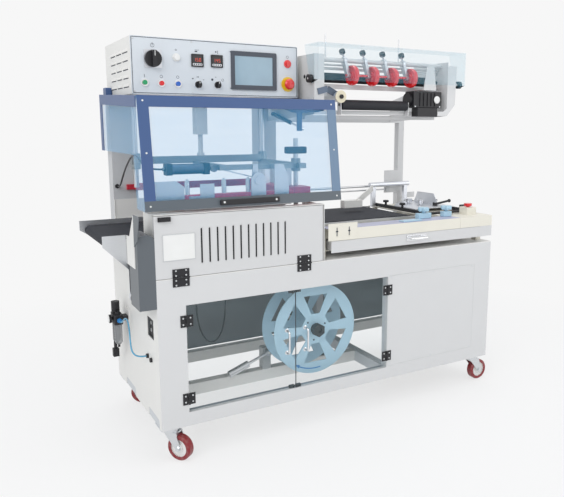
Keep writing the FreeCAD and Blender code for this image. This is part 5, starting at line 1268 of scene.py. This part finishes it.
@dataclass
class Conveyors(SubAssembly):
    """Outfeed and infeed belts, beds, drawer, former and clamps."""

    def build(self) -> None:
        """Dress belts, beds, drawer and former."""
        self.wear("conveyor_belts", Finish.BELT)
        self.wear("outfeed_frame", Finish.ALLOY)
        # painted shade: the front strip of the table top takes the lavender tone of its shaded
        # alloy
        self.wear("infeed_table", Finish.CREAM_STRIP,
                  (Finish.SHADED_STRIP, within((706, 3, 838.6), (1440, 101, 841.5))),
                  (Finish.ALLOY, within((706, 100, 795.4), (1330, 592, 900))))
        self.wear("infeed_drawer", Finish.PANEL,
                  (Finish.CHROME, within((900, -40, 745), (1300, -0.4, 792))))
        self.wear("infeed_stop", Finish.RED)
        self.wear("former_rails", Finish.BLACK_COAT,
                  (Finish.PLATE, within((1300, 545, 850), (1640, 595, 970))))
        self.wear("former_plates", Finish.PLATE)
        self.wear("clamp_lever", Finish.BLACK)
        self.sockets()
        self.clamps()
        self.feed_arm()

    def sockets(self) -> None:
        """Cream inserts with dark keyholes in the two slots of the front plate."""
        inserts, holes = Shape(), Shape()
        for x in (752, 812):
            inserts.box((x + 0.4, -2.2, 806.6), (x + 13.6, -0.2, 852.4))
            holes.box((x + 5, -2.7, 812), (x + 9, -2.2, 848))
            holes.box((x + 1.5, -2.7, 829), (x + 12.5, -2.2, 834))
        settle(inserts, "socket_inserts", "machine", Finish.CREAM_STRIP, smooth=None)
        settle(holes, "socket_keyholes", "machine", Finish.MARK, smooth=None)

    def clamps(self) -> None:
        """Clamp blocks and star knobs on the front strip, rods and knobs behind them."""
        blocks, stars, rods, knobs = Shape(), Shape(), Shape(), Shape()
        for x0, x1 in ((1241, 1316), (1391, 1440)):
            blocks.box((x0, 62, 841.3), (x1, 90, 866))
            self.star(stars, ((x0 + x1) / 2, 76, 866), 27)
        settle(blocks, "clamp_blocks", "machine", Finish.PALE_BLUE, bevel=2.5)
        settle(stars, "star_knobs", "machine", Finish.PALE_BLUE, smooth=50.0)
        plate = Shape().box((1120, 18, 841.3), (1226, 54, 846))
        settle(plate, "scale_plate", "machine", Finish.PALE_BLUE, bevel=0.8)
        plain_screws("scale_plate_screws", "machine", [(x, 36, 846) for x in (1129, 1217)], Z)
        for y in (128, 150):
            rods.tube(np.array([at(x, y, 850) for x in (1316, 1420, 1590)]), 4.5, 12)
        settle(rods, "guide_rods", "machine", Finish.BLACK_COAT)
        r, h = 15, 24
        for x, y in ((1352, 330), (1352, 470), (1603, 380)):
            knobs.lathe(((0, 0), (6, 0), (6, h - 10), (r, h - 10), (r, h - 2), (r - 2, h), (0, h)),
                        at(x, y, 858.2), Z, 24)
        settle(knobs, "rail_knobs", "machine", Finish.BLACK)

    @staticmethod
    def star(shape: Shape, place: Sequence[Number], radius: Number) -> None:
        """Add a six-lobed knob.

        The rim's radius is radius * (0.86 + 0.14 cos 6t), lofted through
        chamfered heights.

        Args:
            shape: what it is added to.
            place: machine place of its foot.
            radius: of the lobes, in millimetres.
        """
        t = np.linspace(0.0, 2 * np.pi, 72, endpoint=False)
        rim = radius * (0.86 + 0.14 * np.cos(6 * t))
        rows = []
        for share, height in ((0, 0), (0.3, 0), (0.3, 8), (0.92, 8), (1, 11), (1, 22), (0.9, 26),
                              (0, 26)):
            ring = np.stack((rim * share * np.cos(t), rim * share * np.sin(t),
                             np.full_like(t, height)), -1)
            rows.append(ring / MM + at(*place))
        shape.grid(np.stack(rows), wrap_v=True)

    def feed_arm(self) -> None:
        """Two thin rods from the column, and the flat arm that hangs over the belt."""
        rods, arm, ends = Shape(), Shape(), Shape()
        for z, r in ((946, 6), (925, 4)):
            rods.tube(np.array([at(x, 589, z) for x in (772, 1100, 1440)]), r, 12)
        settle(rods, "cross_rods", "machine", Finish.STEEL)
        ends.box((758, 579, 915), (782, 600.5, 957))
        ends.box((1432, 579, 915), (1456, 597.5, 957))
        settle(ends, "rod_blocks", "machine", Finish.COLUMN, bevel=1.5)
        arm.beam((1322, 548, 940), (1128, 405, 892), 2.5, 16)
        settle(arm, "feed_arm", "machine", Finish.CREAM, smooth=None)
        foot = Shape().box((1045, 392, 866), (1153, 428, 903))
        settle(foot, "feed_foot", "machine", Finish.CREAM, bevel=2.0)


@dataclass
class Unwinder(SubAssembly):
    """Film cradle, rollers, perforators and cover."""

    def build(self) -> None:
        """Dress the unwinder's nodes, then add its lever and the motor's cap."""
        self.wear("unwinder_frame", Finish.FRONT,
                  (Finish.CREAM_MOULD, within((819, 104, 1357), (873, 119, 1411))),
                  (Finish.BLACK, within((836, 105, 1374), (856, 111.9, 1394))),
                  (Finish.ALLOY, within((822, 118.2, 1361), (869, 231, 1407))),
                  (Finish.STEEL, within((830, 228, 1556), (1240, 236, 1656))))
        self.wear("unwinder_motor", Finish.BLACK)
        self.wear("rubber_roller", Finish.RUBBER)
        self.wear("film_roller", Finish.RUBBER)
        self.wear("perforator_wheels", Finish.RED)
        self.wear("perforator_arms", Finish.PLATE,
                  (Finish.BLACK, within((850, 150, 1568), (1260, 215, 1600))))
        knobs = [within((x - 10, 146, 1438), (x + 10, 184, 1476)) for x in (723, 1544)]
        self.wear("unwinder_cover", Finish.COVER, (Finish.BLACK, knobs[0]),
                  (Finish.BLACK, knobs[1]))
        self.lever()
        self.motor_plate()

    def lever(self) -> None:
        """Cranked dark lever behind the idler wheel."""
        shape = Shape()
        shape.beam((846, 140, 1390), (800, 150, 1416), 5, 13)
        shape.beam((800, 150, 1416), (752, 150, 1404), 5, 13)
        settle(shape, "idler_lever", "machine", Finish.GUN_METAL, smooth=None)

    def motor_plate(self) -> None:
        """Round pale cap on the motor's front and its two cap screws."""
        shape = Shape().lathe(((0, 0), (17, 0), (17, 2.5), (14, 4.5), (0, 4.5)),
                              at(1398, 148, 1384), -Y, 32)
        settle(shape, "motor_cap", "machine", Finish.WHITE)
        plain_screws("motor_screws", "machine", [(x, 152, 1352) for x in (1274, 1420)])


@dataclass
class Cabinet(SubAssembly):
    """Scrap spool, dancer arm and air filter."""

    spool_axis: tuple = (716.0, 0.0, 393.0)

    def build(self) -> None:
        """Dress what hangs in and on the cabinet."""
        hub = both(about(self.spool_axis, 1, 0, 31), within((600, 60, 300), (800, 99.6, 480)))
        self.wear("spool", Finish.PALE_BLUE, (Finish.BLACK, hub))
        self.wear("spool_stand", Finish.CREAM,
                  (Finish.STEEL, within((700, 84, 380), (732, 240, 410))),
                  (Finish.BLACK, within((700, 60, 380), (732, 84, 410))),
                  (Finish.BLACK_COAT, within((690, 265, 191), (950, 296, 440))),
                  (Finish.TUBE_GREY, within((530, 261, 186), (580, 303, 300))))
        self.spool_marks()
        self.wear("dancer_arm", Finish.STEEL)
        self.wear("filter_unit", Finish.BLACK,
                  (Finish.SMOKE, within((-61, 426, 351), (-27, 496, 439.5))),
                  (Finish.FITTING_BLUE, within((-56, 405, 450), (-33, 419, 472))),
                  (Finish.CREAM, within((-4, 419, 429), (1, 497, 501))),
                  (Finish.WHITE, within((-79, 443, 443), (-77.5, 479, 479))))

    def spool_marks(self) -> None:
        """Hub screws and the printed arrow that shows the way the spool turns."""
        x, _, z = self.spool_axis
        turns = np.radians((20, 140, 260))
        places = [(x + 50 * math.cos(a), 100, z + 50 * math.sin(a)) for a in turns]
        plain_screws("spool_screws", "scrap_spool", places, radius=4.0, finish=Finish.MARK)
        t = np.radians(np.linspace(-118.0, -82.0, 24))
        edge = np.stack([np.stack((x + r * np.cos(t), np.full_like(t, y), z + r * np.sin(t)), -1)
                         for r, y in ((176, 99.9), (176, 99.7), (181, 99.7), (181, 99.9))])
        arrow = Shape().grid(placed(edge), wrap_u=True)
        tip = [(x + r * math.cos(a), z + r * math.sin(a))
               for r, a in ((178.5, math.radians(-124)), (170, math.radians(-117)),
                            (187, math.radians(-117)))]
        points = np.array([at(px, y, pz) for y in (99.9, 99.7) for px, pz in tip])
        arrow.add(points, np.array(((0, 1, 2, 2), (3, 5, 4, 4), (0, 3, 4, 1), (1, 4, 5, 2),
                                    (2, 5, 3, 0))))
        settle(arrow, "spool_arrow", "scrap_spool", Finish.FITTING_BLUE, smooth=None)


def main() -> None:
    """Load the frame, dress it, furnish it and light it."""
    logging.basicConfig(level=logging.INFO, format="%(name)s: %(message)s")
    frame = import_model()
    nodes = frame["nodes"]
    Studio().build()
    for cord in (AIR_TUBE, HEAD_HOSE, WINDOW_CABLE):
        cord.build()
    for group in (Base, Casters, Doors, Housing, ControlBox, Hood, SealHead, Conveyors,
                  Unwinder, Cabinet):
        group(nodes).build()
    bpy.context.scene.view_settings.view_transform = "Standard"


if __name__ == "__main__":
    main()
